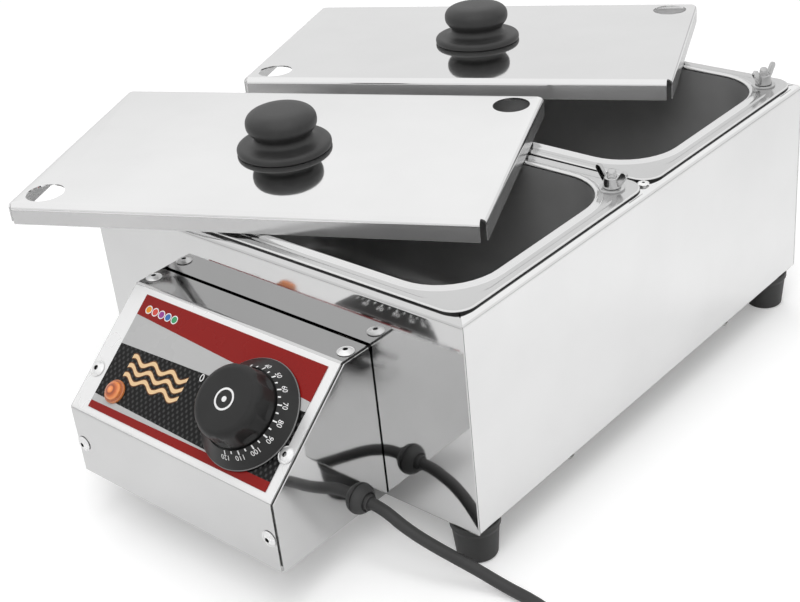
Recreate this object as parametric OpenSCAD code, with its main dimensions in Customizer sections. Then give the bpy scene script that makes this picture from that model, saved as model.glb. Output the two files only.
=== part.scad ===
// Twin-pan electric chocolate melting tank with a control box, lids and a coiled mains cord.
// Millimetres, +Z up, front towards -Y, origin on the floor under the middle of the casing.

/* [Pans] */
// Length of a pan over its flange
pan_l = 265; // [255:1:300]
// Width of a pan over its flange
pan_w = 162; // [156:1:176]
// Depth inside a pan, from the top of the flange
pan_depth = 100; // [65:1:110]
// Thickness of the pan's sheet
pan_sheet = 0.8; // [0.6:0.1:1.2]
// Space between the two pans' flanges
pan_gap = 2; // [1:0.5:6]
// Width of the flange along a pan's sides
rim_w = 12; // [11:0.5:13]
// Outer corner radius of the flange
rim_corner_r = 12; // [8:0.5:14]
// Radius of the rolled bead around the opening
bead_r = 1.3; // [1:0.1:1.6]
// How far the flange's outer edge turns down
rim_drop = 0.5; // [0.3:0.1:1.5]
// Radius between a pan's walls and its floor
pan_floor_r = 12; // [6:1:18]
// Width of the pressed groove in the flange
groove_w = 1.6; // [1:0.1:2.4]
// Depth of the pressed groove in the flange
groove_depth = 0.3; // [0.2:0.1:0.4]

/* [Casing] */
// Space between a pan's flange and the casing's side
side_margin = 3; // [2:0.5:8]
// Space between a pan's flange and the casing's end
end_margin = 3; // [2:0.5:8]
// Height of the casing's walls
wall_h = 126; // [120:1:150]
// Thickness of the casing's sheet
sheet = 1; // [0.6:0.1:1.5]
// Outer radius of the bends in the casing's sheet
bend_r = 2; // [1.6:0.1:3]
// Width of the lip that the walls turn in at the top
top_lip = 12; // [11:0.5:14]
// Width of the lip that the walls turn in at the bottom
bottom_lip = 8; // [6:0.5:8.5]
// Open seam where two sheets meet at a corner
seam = 0.3; // [0.2:0.1:0.6]
// Height of the rail between the pans
rail_h = 15; // [10:1:25]
// Width of the rail between the pans
rail_w = 14; // [10:1:18]

/* [Feet] */
// Height of a foot
foot_h = 23; // [18:1:35]
// Radius of a foot at its top
foot_top_r = 13.5; // [12:0.5:16]
// Radius of a foot where it meets the floor
foot_bottom_r = 11; // [9:0.5:13]

/* [Clamps] */
// Distance of a clamp stud from the flange's edges
stud_inset = 14; // [13.5:0.1:14.5]
// Radius of a clamp stud
stud_r = 2.5; // [2:0.1:3]
// Radius of the washer under a wing nut
washer_r = 7; // [6.5:0.1:7.6]
// Thickness of that washer
washer_t = 1.2; // [0.8:0.1:1.6]
// Height of a wing nut over its tips
wing_h = 11; // [9:0.5:11.5]
// Reach of a wing nut's tips from its axis
wing_reach = 11; // [9:0.5:13]

/* [Lids] */
// Thickness of a lid's sheet
lid_sheet = 0.8; // [0.6:0.1:1.2]
// Height of the lid's turned-down edges
lid_flange = 12; // [12:0.5:16]
// Outer radius of the bends in a lid
lid_bend_r = 1.5; // [1.2:0.1:2.5]
// Open notch at each corner of a lid
lid_notch = 2.5; // [2:0.1:5]
// Diameter of the holes that clear the wing nuts
lid_hole_d = 22; // [18:0.5:26]
// Radius of the lid knob's brim
brim_r = 27.4; // [22:0.2:32]
// Thickness of the lid knob's brim
brim_t = 4.4; // [3:0.2:6]
// Radius of the lid knob's waist
waist_r = 15; // [10:0.5:18]
// Radius of the lid knob's head
head_r = 20.6; // [16:0.2:26]
// Height of the lid knob
lid_knob_h = 24; // [20:0.5:34]

/* [Lid positions] */
// Shift of the front lid along X, as laid askew
front_lid_x = -57; // [-70:1:-40]
// Shift of the front lid along Y, as laid askew
front_lid_y = -85; // [-95:1:-80]
// Turn of the front lid about the vertical
front_lid_yaw = 25.6; // [20:0.1:30]
// Where the casing's corner meets the rear lid's flange, from the flange's middle
rear_lid_slide = -35.5; // [-45:0.5:-25]
// Turn of the rear lid about the vertical
rear_lid_yaw = 25.7; // [23:0.1:28]
// Sideways lean of the rear lid
rear_lid_roll = -0.2; // [-0.4:0.1:0]

/* [Control box] */
// Width of the control box
box_w = 158; // [150:1:175]
// Shift of the control box along X
box_x = -4.5; // [-12:0.5:12]
// How far the control box stands out from the casing
box_depth = 79; // [74:1:95]
// Height of the control box
box_h = 91.5; // [86:0.5:96]
// Height of the control box's upright front
box_front_h = 42; // [36:1:50]
// Depth of the control box's level top
box_top = 19.5; // [16:0.5:24]
// Height of the control box above the casing's lower edge
box_raise = 2.5; // [1:0.5:10]
// Thickness of the control box's cover
cover_t = 1; // [0.6:0.1:1.5]
// How far the cover stays back from the box's sides
cover_inset = 1.5; // [1:0.1:1.5]
// Width of the flanges under the cover
box_flange = 12; // [11:0.5:16]
// Radius of a rivet's domed head
rivet_head_r = 4.6; // [3.5:0.1:4.7]
// Radius of a rivet's shank
rivet_r = 2.4; // [1.6:0.1:3]
// Distance of the rivets from the box's sides
rivet_inset = 6.2; // [6.2:0.1:8]

/* [Faceplate and dial] */
// Distance of the faceplate from the box's left side
plate_left = 13.5; // [10:0.5:16]
// Distance of the faceplate from the box's right side
plate_right = 7.5; // [6:0.5:12]
// Height of the printed faceplate along the slope
plate_h = 68.5; // [60:0.5:70]
// Thickness of the printed faceplate
plate_t = 0.5; // [0.3:0.1:1]
// Distance of the dial's axis from the box's right side
dial_side = 38; // [37:0.5:44]
// Distance of the dial from the slope's lower edge
dial_s = 36; // [33:0.5:40]
// Radius of the dial's skirt
skirt_r = 30; // [24:0.5:31]
// Height of the dial's conical skirt
skirt_h = 9; // [7:0.5:12]
// Radius of the dial's grip at its foot
grip_r = 21; // [16:0.5:22]
// Radius of the dial's grip at its top
grip_top_r = 18.8; // [14:0.2:19.6]
// Height of the dial above the faceplate
dial_h = 23.5; // [20:0.5:30]
// Radius of the thermostat's shaft
shaft_r = 3; // [2.5:0.1:4]
// Distance of the pilot lamp from the box's left side
lamp_side = 27; // [22:0.5:32]
// Distance of the pilot lamp from the slope's lower edge
lamp_s = 17.5; // [14:0.5:24]
// Radius of the pilot lamp's lens
lens_r = 5.3; // [4:0.1:6]

/* [Heating] */
// Radius of a heating element
heater_r = 3.2; // [2.5:0.1:4]
// Distance between the legs of a heating element
heater_pitch = 64; // [48:1:80]
// Length of a heating element's straight legs
heater_l = 190; // [160:1:205]
// Radius of the sensing bulb
bulb_r = 3.2; // [2:0.1:4]
// Length of the sensing bulb
bulb_l = 80; // [60:1:110]

/* [Cord] */
// Diameter of the mains cord
cord_d = 6.5; // [5.5:0.1:6.6]
// Number of turns in the cord's coil
coil_turns = 5.5; // [3.5:1:7.5]
// Radius of the coil at the middle of its turns
coil_mid_r = 39; // [36:0.5:42]

/* [Hidden] */
$fn = 48;

steel = [0.80, 0.81, 0.82];
zinc = [0.72, 0.73, 0.75];
black_plastic = [0.09, 0.09, 0.09];
rubber = [0.07, 0.07, 0.07];
copper = [0.72, 0.43, 0.20];
ceramic = [0.92, 0.90, 0.84];

// Small gaps: pieces that may part, and a shaft turning in its bore
rest_gap = 0.3;
run_gap = 0.05;
hole_gap = 0.25;
eps = 0.01;

// Casing
body_w = pan_l + 2 * side_margin;
body_d = 2 * pan_w + pan_gap + 2 * end_margin;
front_y = -body_d / 2;
plate_z = foot_h;
base_z = plate_z + sheet;
top_z = base_z + wall_h;
foot_x = body_w / 2 - foot_top_r;
foot_y = body_d / 2 - foot_top_r;
foot_screw_r = 2.5;
base_plate_inset = 1.5;
base_screw_r = 1.9;
base_screw_inset = bottom_lip / 2 + 0.5;
rail_rivet_r = 1.6;
rail_rivet_x = body_w / 2 - 7;
foot_bore_r = 6;
foot_seat_z = 10;

// Pans
pan_cy = (pan_w + pan_gap) / 2;
rim_z = top_z + rim_drop;
rim_top = rim_z + pan_sheet;
bead_step = 0.2;
// The opening's corners leave room on the flange for a clamp's washer
bead_reach = 2 * bead_r + bead_step + washer_r + rest_gap;
opening_r = ceil(2 * (bead_reach + sqrt(2) * (stud_inset - rim_w)) / (sqrt(2) - 1)) / 2;
open_l = pan_l - 2 * rim_w;
open_w = pan_w - 2 * rim_w;
pan_in_z = rim_top - pan_depth;
pan_out_z = pan_in_z - pan_sheet;
bead_top = rim_top + bead_r;

// Clamps
stud_x = pan_l / 2 - stud_inset;
stud_y = pan_w / 2 - stud_inset;
stud_spots = [
  [-stud_x, -pan_cy - stud_y],
  [stud_x, -pan_cy + stud_y],
  [-stud_x, pan_cy - stud_y],
  [stud_x, pan_cy + stud_y]
];
nut_z = rim_top + washer_t;
wing_top = nut_z + wing_h;
stud_top = nut_z + wing_h - 1.2;
hub_h = 6;
hub_r = stud_r + 2.6;
wing_t = 2;
bracket_t = 2;
bracket_r = 6.5;

// Lids: each covers half of the casing when it is shut
lid_l = body_w;
lid_w = body_d / 2;
front_lid_z = bead_top + rest_gap + lid_flange;
knob_screw_r = 2.5;
head_round = 7;

// The rear lid's flange lies against the casing's corner
corner_v = lid_w / 2 - lid_sheet - rest_gap - 0.06 * lid_flange;
rear_lid_x = -body_w / 2 - rear_lid_slide * cos(rear_lid_yaw) + corner_v * sin(rear_lid_yaw);
rear_lid_y = body_d / 2 - rear_lid_slide * sin(rear_lid_yaw) - corner_v * cos(rear_lid_yaw);

// The rear lid leans on the hidden wing nut and on the rear pan's far bead
lean_x = -stud_x - rear_lid_x;
lean_y = pan_cy - stud_y - rear_lid_y;
nut_u = lean_x * cos(rear_lid_yaw) + lean_y * sin(rear_lid_yaw);
nut_v = -lean_x * sin(rear_lid_yaw) + lean_y * cos(rear_lid_yaw);
far_bead_y = pan_cy + open_w / 2 + bead_step + bead_r;
edge_v = (far_bead_y - rear_lid_y - sin(rear_lid_yaw) * lid_l / 2) / cos(rear_lid_yaw);
lean_roll = sin(rear_lid_roll);
nut_room = 1.7;
lean_slack = 0.06 * wing_reach + nut_room;
nut_lid_z = wing_top + rest_gap + lid_sheet + lean_slack;
edge_lid_z = bead_top + rest_gap + lid_flange + 0.2;
lean_pitch = (edge_lid_z - nut_lid_z + (lid_l / 2 - nut_u) * lean_roll) / (edge_v - nut_v);
rear_lid_pitch = asin(lean_pitch);
rear_lid_z = nut_lid_z - nut_v * lean_pitch + nut_u * lean_roll;

// Control box: its side outline, from the front's lower edge up to the casing
box_x0 = box_x - box_w / 2;
box_x1 = box_x + box_w / 2;
box_z0 = base_z + box_raise;
box_z1 = box_z0 + box_front_h;
box_z2 = box_z0 + box_h;
box_front_y = front_y - box_depth;
box_top_y = front_y - box_top;
box_path = [[box_front_y, box_z0], [box_front_y, box_z1], [box_top_y, box_z2], [front_y, box_z2]];
slope_run = box_path[2] - box_path[1];
slope_len = norm(slope_run);
slope_angle = atan2(slope_run[1], slope_run[0]);
rivet_spots_x = [box_x0 + rivet_inset, box_x1 - rivet_inset];
slope_rivet_s = 25;
rivet_dome = 2;

// Faceplate and dial
plate_s = (slope_len - plate_h) / 2;
plate_x0 = box_x0 + plate_left;
plate_w = box_w - plate_left - plate_right;
dial_cx = box_x1 - dial_side;
lamp_cx = box_x0 + lamp_side;
skirt_gap = 0.5;
skirt_z = plate_t + skirt_gap;
dial_hub_r = shaft_r + 4;
shaft_hole_r = shaft_r + 2;
dial_cavity_h = 5;
thermo_screw_pitch = 28;
thermo_screw_r = 2;
thermo_w = 38;
thermo_t = 17;
dial_bore_h = dial_h - 6;
pilot_l = 14;
pilot_stem = 6;
pilot_tab = 7;
pilot_tab_x = 2.4;
lens_flange_r = lens_r + 1.4;
lamp_hole_r = lens_r - 0.4;

// Wiring through the casing's front wall
wire_hole_r = 9;
wire_hole_z = box_z0 + 34;
wire_r = 1;
// Wires bend in steps of this length
bend = 10;
wire_sides = 8;
hole = [box_x, front_y, wire_hole_z];
lane_out = front_y + sheet + 4.5;
lane_in = front_y + sheet + 8;
terminal_l = 40;
terminal_w = 18;
terminal_h = 15;
terminal_pitch = 12;
terminal_entry_z = 6;
terminal_fix_x = 16;
terminal_screw_y = 5;
term = [box_x1 - 55, front_y - 36, box_z0 + sheet];

// Heating
heater_z = pan_out_z - heater_r - 0.1;
bulb_z = pan_out_z - bulb_r - 0.1;
bracket_w = 14;
bracket_sheet = 1;
bracket_span = heater_pitch + 34;
insulator_l = 9;
insulator_r = heater_r + 1.3;

// Cord: the route's points lie on the floor once the cord has come down from its gland
cord_r = cord_d / 2;
gland_y = front_y - 20.5;
gland_z = box_z0 + 9;
gland_tip_x = box_x1 + 7.5;
gland_dome_r = 8.6;
gland_neck_r = 5.2;
gland_flange_t = 2;
lay_z = cord_r + 0.35;
route_steps = [
  [0, 0, gland_z], [2, 0, gland_z], [7, 0, gland_z - 0.5], [13, 0, gland_z - 2.1],
  [21, 0.2, gland_z - 5.3], [30, 1.8, gland_z - 9.6], [39.5, 4.8, gland_z - 14.6],
  [49, 8.3, gland_z - 19.6], [59, 11.8, gland_z - 24.7], [68, 14.2, gland_z - 28.8],
  [76.5, 15.5, lay_z + 0.7], [85.5, 15.7, lay_z], [95.5, 14.5, lay_z], [106, 12, lay_z],
  [117, 8.9, lay_z + 0.1], [128, 6, lay_z + 0.3], [138, 4.2, lay_z + 0.6], [145, 3.6, lay_z + 0.75],
  [148.5, 3.5, lay_z + 0.8], [151.5, 3.5, lay_z + 0.8]
];
route = [for (p = route_steps) [gland_tip_x + p[0], gland_y + p[1], p[2]]];
route_sides = 10;
coil_sides = 6;
coil_step = 24;
coil_pitch = cord_d + 0.7;
coil_layer = cord_d + 0.5;
tie_t = 0.8;
tie_w = 8;
coil_start = [gland_tip_x + 158, gland_y + 3.5, lay_z + 0.8];
coil_turn_mid = coil_turns / 2;
coil_out_r = coil_mid_r + coil_pitch * coil_turn_mid / 2;
coil_in_r = coil_mid_r - coil_pitch * coil_turn_mid / 2;
coil_c = [coil_start[0], coil_start[1] - coil_out_r];
plug_l = 40;
plug_r = 10.8;

// Helpers: flat shapes

// Rectangle with round corners, centred
module rounded_rect(l, w, r) {
  square([l - 2 * r, w], center = true);
  square([l, w - 2 * r], center = true);
  for (x = [-1, 1], y = [-1, 1]) translate([x * (l / 2 - r), y * (w / 2 - r)]) circle(r);
}

// Block with two round corners on its left side
module half_round(w, h, r) {
  translate([r, 0]) square([w - r, h]);
  translate([0, r]) square([w, h - 2 * r]);
  for (y = [r, h - r]) translate([r, y]) circle(r);
}

// Section of a wall: upright sheet with lips turned in at the top and at the bottom
module wall_section() {
  difference() {
    half_round(top_lip, wall_h, bend_r);
    translate([sheet, sheet]) half_round(top_lip, wall_h - 2 * sheet, bend_r - sheet);
    translate([bottom_lip, -eps]) square([top_lip, wall_h / 2]);
  }
}

// Sweep of a flat section along X, with the section's axes on Y and Z
module along_x(x0, x1) {
  translate([x0, 0, 0]) rotate([90, 0, 90]) linear_extrude(x1 - x0) children();
}

// Sweep of a section around a rounded rectangle; the section's X points outwards
module around(l, w, r) {
  for (q = [0 : 3]) {
    half_l = (q % 2 == 0 ? l : w) / 2 - r;
    half_w = (q % 2 == 0 ? w : l) / 2;
    rotate(90 * q) {
      translate([half_l, half_w - r, 0]) rotate_extrude(angle = 90) translate([r, 0]) children();
      translate([half_l, half_w, 0])
        rotate([90, 0, -90]) linear_extrude(2 * half_l) mirror([1, 0]) children();
    }
  }
}

// Place on the control box's slope: X across, Y up the slope, Z out of it
module on_slope(x, s, h = 0) {
  translate([x, box_path[1][0], box_path[1][1]]) rotate([slope_angle, 0, 0]) translate([0, s, h]) children();
}

// Functions for the folded outline of the control box
function unit(v) = v / norm(v);
function side_of(v) = [v[1], -v[0]];
function normal_at(p, i) = side_of(unit(p[i + 1] - p[i]));
function inset_path(p, d) = [
  for (i = [0 : len(p) - 1])
    i == 0 ? p[0] + d * normal_at(p, 0)
    : i == len(p) - 1 ? p[i] + d * normal_at(p, i - 1)
    : p[i] + d * (normal_at(p, i - 1) + normal_at(p, i)) / (1 + normal_at(p, i - 1) * normal_at(p, i))
];
function reversed(p) = [for (i = [len(p) - 1 : -1 : 0]) p[i]];

// Swept tubes: each ring's frame is carried on from the one before it, so that the tube doesn't twist
function tangent(p, i) = unit(p[min(i + 1, len(p) - 1)] - p[max(i - 1, 0)]);
function level(t) = abs(t[2]) < 0.9 ? unit(cross(t, [0, 0, 1])) : unit(cross(t, [1, 0, 0]));
function carried(p, i) =
  let (t = tangent(p, i))
  i == 0 ? level(t) : let (s = carried(p, i - 1)) unit(s - (s * t) * t);
function ring(p, i, r, n) =
  let (s = carried(p, i), u = cross(s, tangent(p, i)))
  [for (k = [0 : n - 1]) p[i] + r * (cos(360 * k / n) * s + sin(360 * k / n) * u)];

// Round tube along a list of points
module tube(p, r, n) {
  m = len(p);
  last = (m - 1) * n;
  points = [for (i = [0 : m - 1]) each ring(p, i, r, n)];
  start = [for (k = [1 : n - 2]) [0, k, k + 1]];
  end = [for (k = [1 : n - 2]) [last, last + k + 1, last + k]];
  walls = [
    for (i = [0 : m - 2], k = [0 : n - 1], h = [0, 1])
      let (a = i * n + k, b = i * n + (k + 1) % n)
      h == 0 ? [a, a + n, b] : [b, a + n, b + n]
  ];
  polyhedron(points, concat(start, walls, end));
}

// Coil: it winds in on the lower layer, climbs where it turns, and winds out on the upper one
function eased(d) = d > 0.25 ? d : 2 * d * d + 0.125;
function climb(t) =
  let (s = max(0, min(1, 2 * (t - coil_turn_mid) + 0.5)))
  s * s * (3 - 2 * s);
function coil_radius(t) = coil_in_r + coil_pitch * eased(abs(t - coil_turn_mid));
function coil_point(t) = [
  coil_c[0] + coil_radius(t) * sin(360 * t),
  coil_c[1] + coil_radius(t) * cos(360 * t),
  coil_start[2] + coil_layer * climb(t)
];
coil_end = coil_point(coil_turns);
coil_exit = [cos(360 * coil_turns), -sin(360 * coil_turns), 0];
coil_points = concat(
  [coil_start - [cord_d, 0, 0]],
  [for (i = [0 : coil_turns * coil_step]) coil_point(i / coil_step)],
  [coil_end + cord_d * coil_exit]
);
plug_end = coil_end + cord_d * coil_exit;

// Least gap of the coil to itself, measured on its points
function point_gap(i, j) = norm(coil_points[i] - coil_points[j]) - cord_d;
coil_last = len(coil_points) - 1;
coil_gap = min([
  for (i = [0 : coil_last - coil_step / 2], j = [i + coil_step / 2 : coil_last]) point_gap(i, j)
]);
echo(coil_gap = coil_gap);

// Casing

module front_wall() {
  color(steel) difference() {
    translate([-body_w / 2, front_y, base_z]) rotate([90, 0, 90]) linear_extrude(body_w) wall_section();
    for (m = [0, 1]) mirror([m, 0, 0]) front_mitre();
    translate([box_x, front_y - eps, wire_hole_z])
      rotate([-90, 0, 0]) cylinder(h = sheet + 2 * eps, r = wire_hole_r + hole_gap);
    housing_rivet_places() cylinder(h = 20, r = rivet_r + hole_gap, center = true);
    base_screw_places() cylinder(h = 20, r = base_screw_r + hole_gap, center = true);
  }
}

// Corner cut that leaves the front sheet's lips with mitred ends
module front_mitre() {
  x = body_w / 2 - sheet;
  y = front_y + sheet;
  translate([0, 0, base_z - eps])
    linear_extrude(wall_h + 2 * eps)
      polygon([[x, y], [x + 2 * sheet, y], [x + 2 * sheet, y + top_lip], [x - top_lip, y + top_lip]]);
}

module side_wall() {
  x = body_w / 2;
  y0 = front_y + sheet + seam;
  run = body_d - 2 * (sheet + seam);
  color(steel) difference() {
    translate([x, y0, base_z]) rotate([90, 0, 180]) linear_extrude(run) wall_section();
    for (m = [0, 1]) mirror([0, m, 0]) translate([0, 0, base_z - eps])
      linear_extrude(wall_h + 2 * eps)
        polygon([
          [x - sheet, y0 - eps], [x - sheet, y0 + seam], [x - sheet - top_lip, y0 + seam + top_lip],
          [x - sheet - top_lip, y0 - eps]
        ]);
    bridge_rivet_places() cylinder(h = 20, r = rail_rivet_r + hole_gap, center = true);
    base_screw_places() cylinder(h = 20, r = base_screw_r + hole_gap, center = true);
  }
}

module right_wall() {
  side_wall();
}

module left_wall() {
  mirror([1, 0, 0]) side_wall();
}

module rear_wall() {
  color(steel) difference() {
    translate([-body_w / 2, -front_y, base_z])
      rotate([90, 0, 90]) linear_extrude(body_w) mirror([1, 0]) wall_section();
    for (m = [0, 1]) mirror([m, 0, 0]) mirror([0, 1, 0]) front_mitre();
    base_screw_places() cylinder(h = 20, r = base_screw_r + hole_gap, center = true);
  }
}

module bottom_plate() {
  l = body_w - 2 * base_plate_inset;
  w = body_d - 2 * base_plate_inset;
  color(zinc) difference() {
    translate([-l / 2, -w / 2, plate_z]) cube([l, w, sheet]);
    foot_places() cylinder(h = 200, r = foot_screw_r + hole_gap, center = true);
    base_screw_places() cylinder(h = 20, r = base_screw_r + hole_gap, center = true);
    earth_place() cylinder(h = 20, r = base_screw_r + hole_gap, center = true);
  }
}

// Screws that hold the bottom plate to the walls' lower lips
module base_screw_places() {
  x = body_w / 2 - base_screw_inset;
  y = body_d / 2 - base_screw_inset;
  for (s = [-1, 1]) {
    for (v = [-pan_cy, pan_cy]) translate([s * x, v, plate_z]) children();
    translate([0, s * y, plate_z]) children();
  }
}

module base_screws() {
  color(zinc) base_screw_places() pan_screw(base_screw_r, 7, 2);
}

// Pan-head screw: its head lies below Z 0 and its shank stands above
module pan_screw(r, l, head) {
  cylinder(h = l, r = r);
  translate([0, 0, -head]) cylinder(h = head, r1 = 1.5 * r, r2 = 1.9 * r);
}

// Rail between the pans, with joggled ends under the casing's lips
module bridge_rivet_places() {
  for (s = [-1, 1]) translate([s * rail_rivet_x, 0, top_z]) children();
}

module bridge_rail() {
  inner = body_w / 2 - top_lip - hole_gap;
  tab_l = top_lip - sheet;
  color(steel) difference() {
    union() {
      difference() {
        translate([-inner, -rail_w / 2, top_z - rail_h]) cube([2 * inner, rail_w, rail_h]);
        translate([-inner - 1, -rail_w / 2 + sheet, top_z - rail_h - 1])
          cube([2 * inner + 2, rail_w - 2 * sheet, rail_h - sheet + 1]);
      }
      for (m = [0, 1]) mirror([m, 0, 0])
        translate([inner - tab_l, -rail_w / 2 + sheet, top_z - 3 * sheet])
          cube([tab_l + top_lip - bend_r, rail_w - 2 * sheet, 2 * sheet]);
    }
    bridge_rivet_places() cylinder(h = 20, r = rail_rivet_r + hole_gap, center = true);
  }
}

module bridge_rivets() {
  color(zinc) bridge_rivet_places() blind_rivet(3.2, rail_rivet_r, 1.2, 4);
}

// Blind rivet: domed head above Z 0 with the stem's hole, shank below
module blind_rivet(head_r, r, dome, grip) {
  ball = (head_r * head_r + dome * dome) / (2 * dome);
  difference() {
    union() {
      intersection() {
        translate([0, 0, dome - ball]) sphere(ball);
        cylinder(h = dome, r = head_r);
      }
      translate([0, 0, -grip]) cylinder(h = grip, r = r);
    }
    translate([0, 0, -1]) cylinder(h = dome + 2, r = 0.55 * r);
  }
}

// Clamps

module stud_bracket(spot) {
  side = sign(spot[0]);
  z = top_z - sheet - bracket_t;
  reach = body_w / 2 - bend_r - abs(spot[0]);
  translate([spot[0], spot[1], z]) difference() {
    union() {
      cylinder(h = bracket_t, r = bracket_r);
      translate([side > 0 ? 0 : -reach, -bracket_r, 0]) cube([reach, 2 * bracket_r, bracket_t]);
    }
    translate([0, 0, -1]) cylinder(h = bracket_t + 2, r = stud_r + run_gap);
  }
}

module stud_brackets() {
  color(zinc) for (spot = stud_spots) stud_bracket(spot);
}

module clamp_studs() {
  z = top_z - sheet - bracket_t;
  color(zinc) for (spot = stud_spots) translate([spot[0], spot[1], z]) {
    cylinder(h = stud_top - z, r = stud_r);
    translate([0, 0, -2.4]) cylinder(h = 2.4, r = 1.7 * stud_r, $fn = 6);
  }
}

module clamp_washers() {
  color(zinc) for (spot = stud_spots) translate([spot[0], spot[1], rim_top]) difference() {
    cylinder(h = washer_t, r = washer_r);
    translate([0, 0, -1]) cylinder(h = washer_t + 2, r = stud_r + hole_gap);
  }
}

module wing_nut(spot, turn) {
  lift = 0.1;
  color(zinc) translate([spot[0], spot[1], nut_z]) rotate(turn) difference() {
    union() {
      translate([0, 0, lift]) cylinder(h = hub_h - lift, r1 = hub_r, r2 = hub_r - 1);
      for (m = [0, 1]) mirror([m, 0, 0]) rotate([90, 0, 0]) translate([0, 0, -wing_t / 2])
        linear_extrude(wing_t)
          polygon([
            [stud_r + 1, 1], [hub_r + 1, 1.6], [wing_reach, wing_h - 2.6], [wing_reach - 0.5, wing_h - 0.8],
            [wing_reach - 2, wing_h], [wing_reach - 3.6, wing_h - 0.5], [stud_r + 1, hub_h - 1]
          ]);
    }
    translate([0, 0, -1]) cylinder(h = wing_h + 2, r = stud_r + run_gap);
  }
}

module wing_nut_front_left() {
  wing_nut(stud_spots[0], 35);
}

module wing_nut_front_right() {
  wing_nut(stud_spots[1], -8);
}

module wing_nut_rear_left() {
  wing_nut(stud_spots[2], 60);
}

module wing_nut_rear_right() {
  wing_nut(stud_spots[3], 84);
}

// Pans

module pan() {
  straight_z = pan_in_z + pan_floor_r;
  wall_l = open_l + 2 * pan_sheet;
  wall_w = open_w + 2 * pan_sheet;
  wall_r = opening_r + pan_sheet;
  outer_floor_r = pan_floor_r + pan_sheet;
  color(steel) difference() {
    union() {
      translate([0, 0, rim_z]) linear_extrude(pan_sheet) difference() {
        rounded_rect(pan_l, pan_w, rim_corner_r);
        rounded_rect(open_l, open_w, opening_r);
      }
      translate([0, 0, top_z]) linear_extrude(rim_drop + eps) difference() {
        rounded_rect(pan_l, pan_w, rim_corner_r);
        rounded_rect(pan_l - 2 * pan_sheet, pan_w - 2 * pan_sheet, rim_corner_r - pan_sheet);
      }
      around(open_l, open_w, opening_r) difference() {
        translate([bead_r + bead_step, rim_top]) circle(bead_r, $fn = 24);
        translate([-bead_r, rim_z - 2 * bead_r]) square([5 * bead_r, 2 * bead_r + pan_sheet / 2]);
      }
      translate([0, 0, straight_z]) linear_extrude(rim_top - straight_z) difference() {
        rounded_rect(wall_l, wall_w, wall_r);
        rounded_rect(open_l, open_w, opening_r);
      }
      around(wall_l, wall_w, wall_r) intersection() {
        translate([-outer_floor_r, straight_z]) difference() {
          circle(outer_floor_r);
          circle(pan_floor_r);
        }
        translate([-outer_floor_r, pan_out_z]) square([outer_floor_r, outer_floor_r]);
      }
      translate([0, 0, pan_out_z]) linear_extrude(pan_sheet)
        rounded_rect(wall_l - 2 * outer_floor_r, wall_w - 2 * outer_floor_r, wall_r - outer_floor_r);
    }
    pan_grooves();
    for (s = [-1, 1]) translate([s * stud_x, s * stud_y, rim_z - 1])
      cylinder(h = 2 * pan_sheet + 2, r = stud_r + hole_gap);
  }
}

// Pressed grooves along the flange's sides, which stop short of the corners
module pan_grooves() {
  x = pan_l / 2 - rim_w / 2 + bead_r / 2;
  y = pan_w / 2 - rim_w / 2 + bead_r / 2;
  run_x = open_l / 2 - opening_r / 2;
  run_y = open_w / 2 - opening_r / 2;
  for (s = [-1, 1]) {
    translate([0, s * y, rim_top]) groove(2 * run_x);
    translate([s * x, 0, rim_top]) rotate(90) groove(2 * run_y);
  }
}

module groove(l) {
  translate([0, 0, -groove_depth]) linear_extrude(1) rounded_rect(l, groove_w, groove_w / 2 - eps);
}

module front_pan() {
  translate([0, -pan_cy, 0]) pan();
}

module rear_pan() {
  translate([0, pan_cy, 0]) pan();
}

// Lids

module at_front_lid() {
  translate([front_lid_x, front_lid_y, front_lid_z]) rotate(front_lid_yaw) children();
}

module at_rear_lid() {
  translate([rear_lid_x, rear_lid_y, rear_lid_z])
    rotate([rear_lid_pitch, rear_lid_roll, rear_lid_yaw]) children();
}

// Section across a lid, with its top at zero
module lid_section(w) {
  translate([-w / 2, 0]) rotate(-90) difference() {
    half_round(lid_flange, w, lid_bend_r);
    translate([lid_sheet, lid_sheet]) half_round(lid_flange, w - 2 * lid_sheet, lid_bend_r - lid_sheet);
  }
}

module lid() {
  color(steel) difference() {
    union() {
      along_x(-lid_l / 2 + lid_notch, lid_l / 2 - lid_notch) lid_section(lid_w);
      rotate(90) along_x(-lid_w / 2 + lid_notch, lid_w / 2 - lid_notch) lid_section(lid_l);
    }
    for (s = [-1, 1]) translate([s * stud_x, s * stud_y, -5]) cylinder(h = 10, r = lid_hole_d / 2);
    translate([0, 0, -5]) cylinder(h = 10, r = knob_screw_r + hole_gap);
  }
}

// Moulded knob: flat brim, waist and round head
module lid_knob() {
  edge = brim_t / 2;
  head_z = lid_knob_h - 2 * head_round;
  color(black_plastic) difference() {
    rotate_extrude() intersection() {
      union() {
        square([brim_r - edge, brim_t]);
        translate([brim_r - edge, edge]) circle(edge);
        square([waist_r, lid_knob_h - head_round]);
        translate([0, head_z]) square([head_r - head_round, 2 * head_round]);
        translate([head_r - head_round, lid_knob_h - head_round]) circle(head_round);
      }
      square([2 * brim_r, lid_knob_h]);
    }
    translate([0, 0, -1]) cylinder(h = lid_knob_h / 2 + 1, r = knob_screw_r + run_gap);
  }
}

// Screw from under the lid into its knob
module lid_screw() {
  color(zinc) translate([0, 0, -lid_sheet]) pan_screw(knob_screw_r, lid_knob_h / 2 - 2, 2.4);
}

module front_lid() {
  at_front_lid() lid();
}

module rear_lid() {
  at_rear_lid() lid();
}

module front_lid_knob() {
  at_front_lid() lid_knob();
}

module rear_lid_knob() {
  at_rear_lid() lid_knob();
}

module front_lid_screw() {
  at_front_lid() lid_screw();
}

module rear_lid_screw() {
  at_rear_lid() lid_screw();
}

// Feet

module foot_places() {
  for (x = [-1, 1], y = [-1, 1]) translate([x * foot_x, y * foot_y, 0]) children();
}

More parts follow.
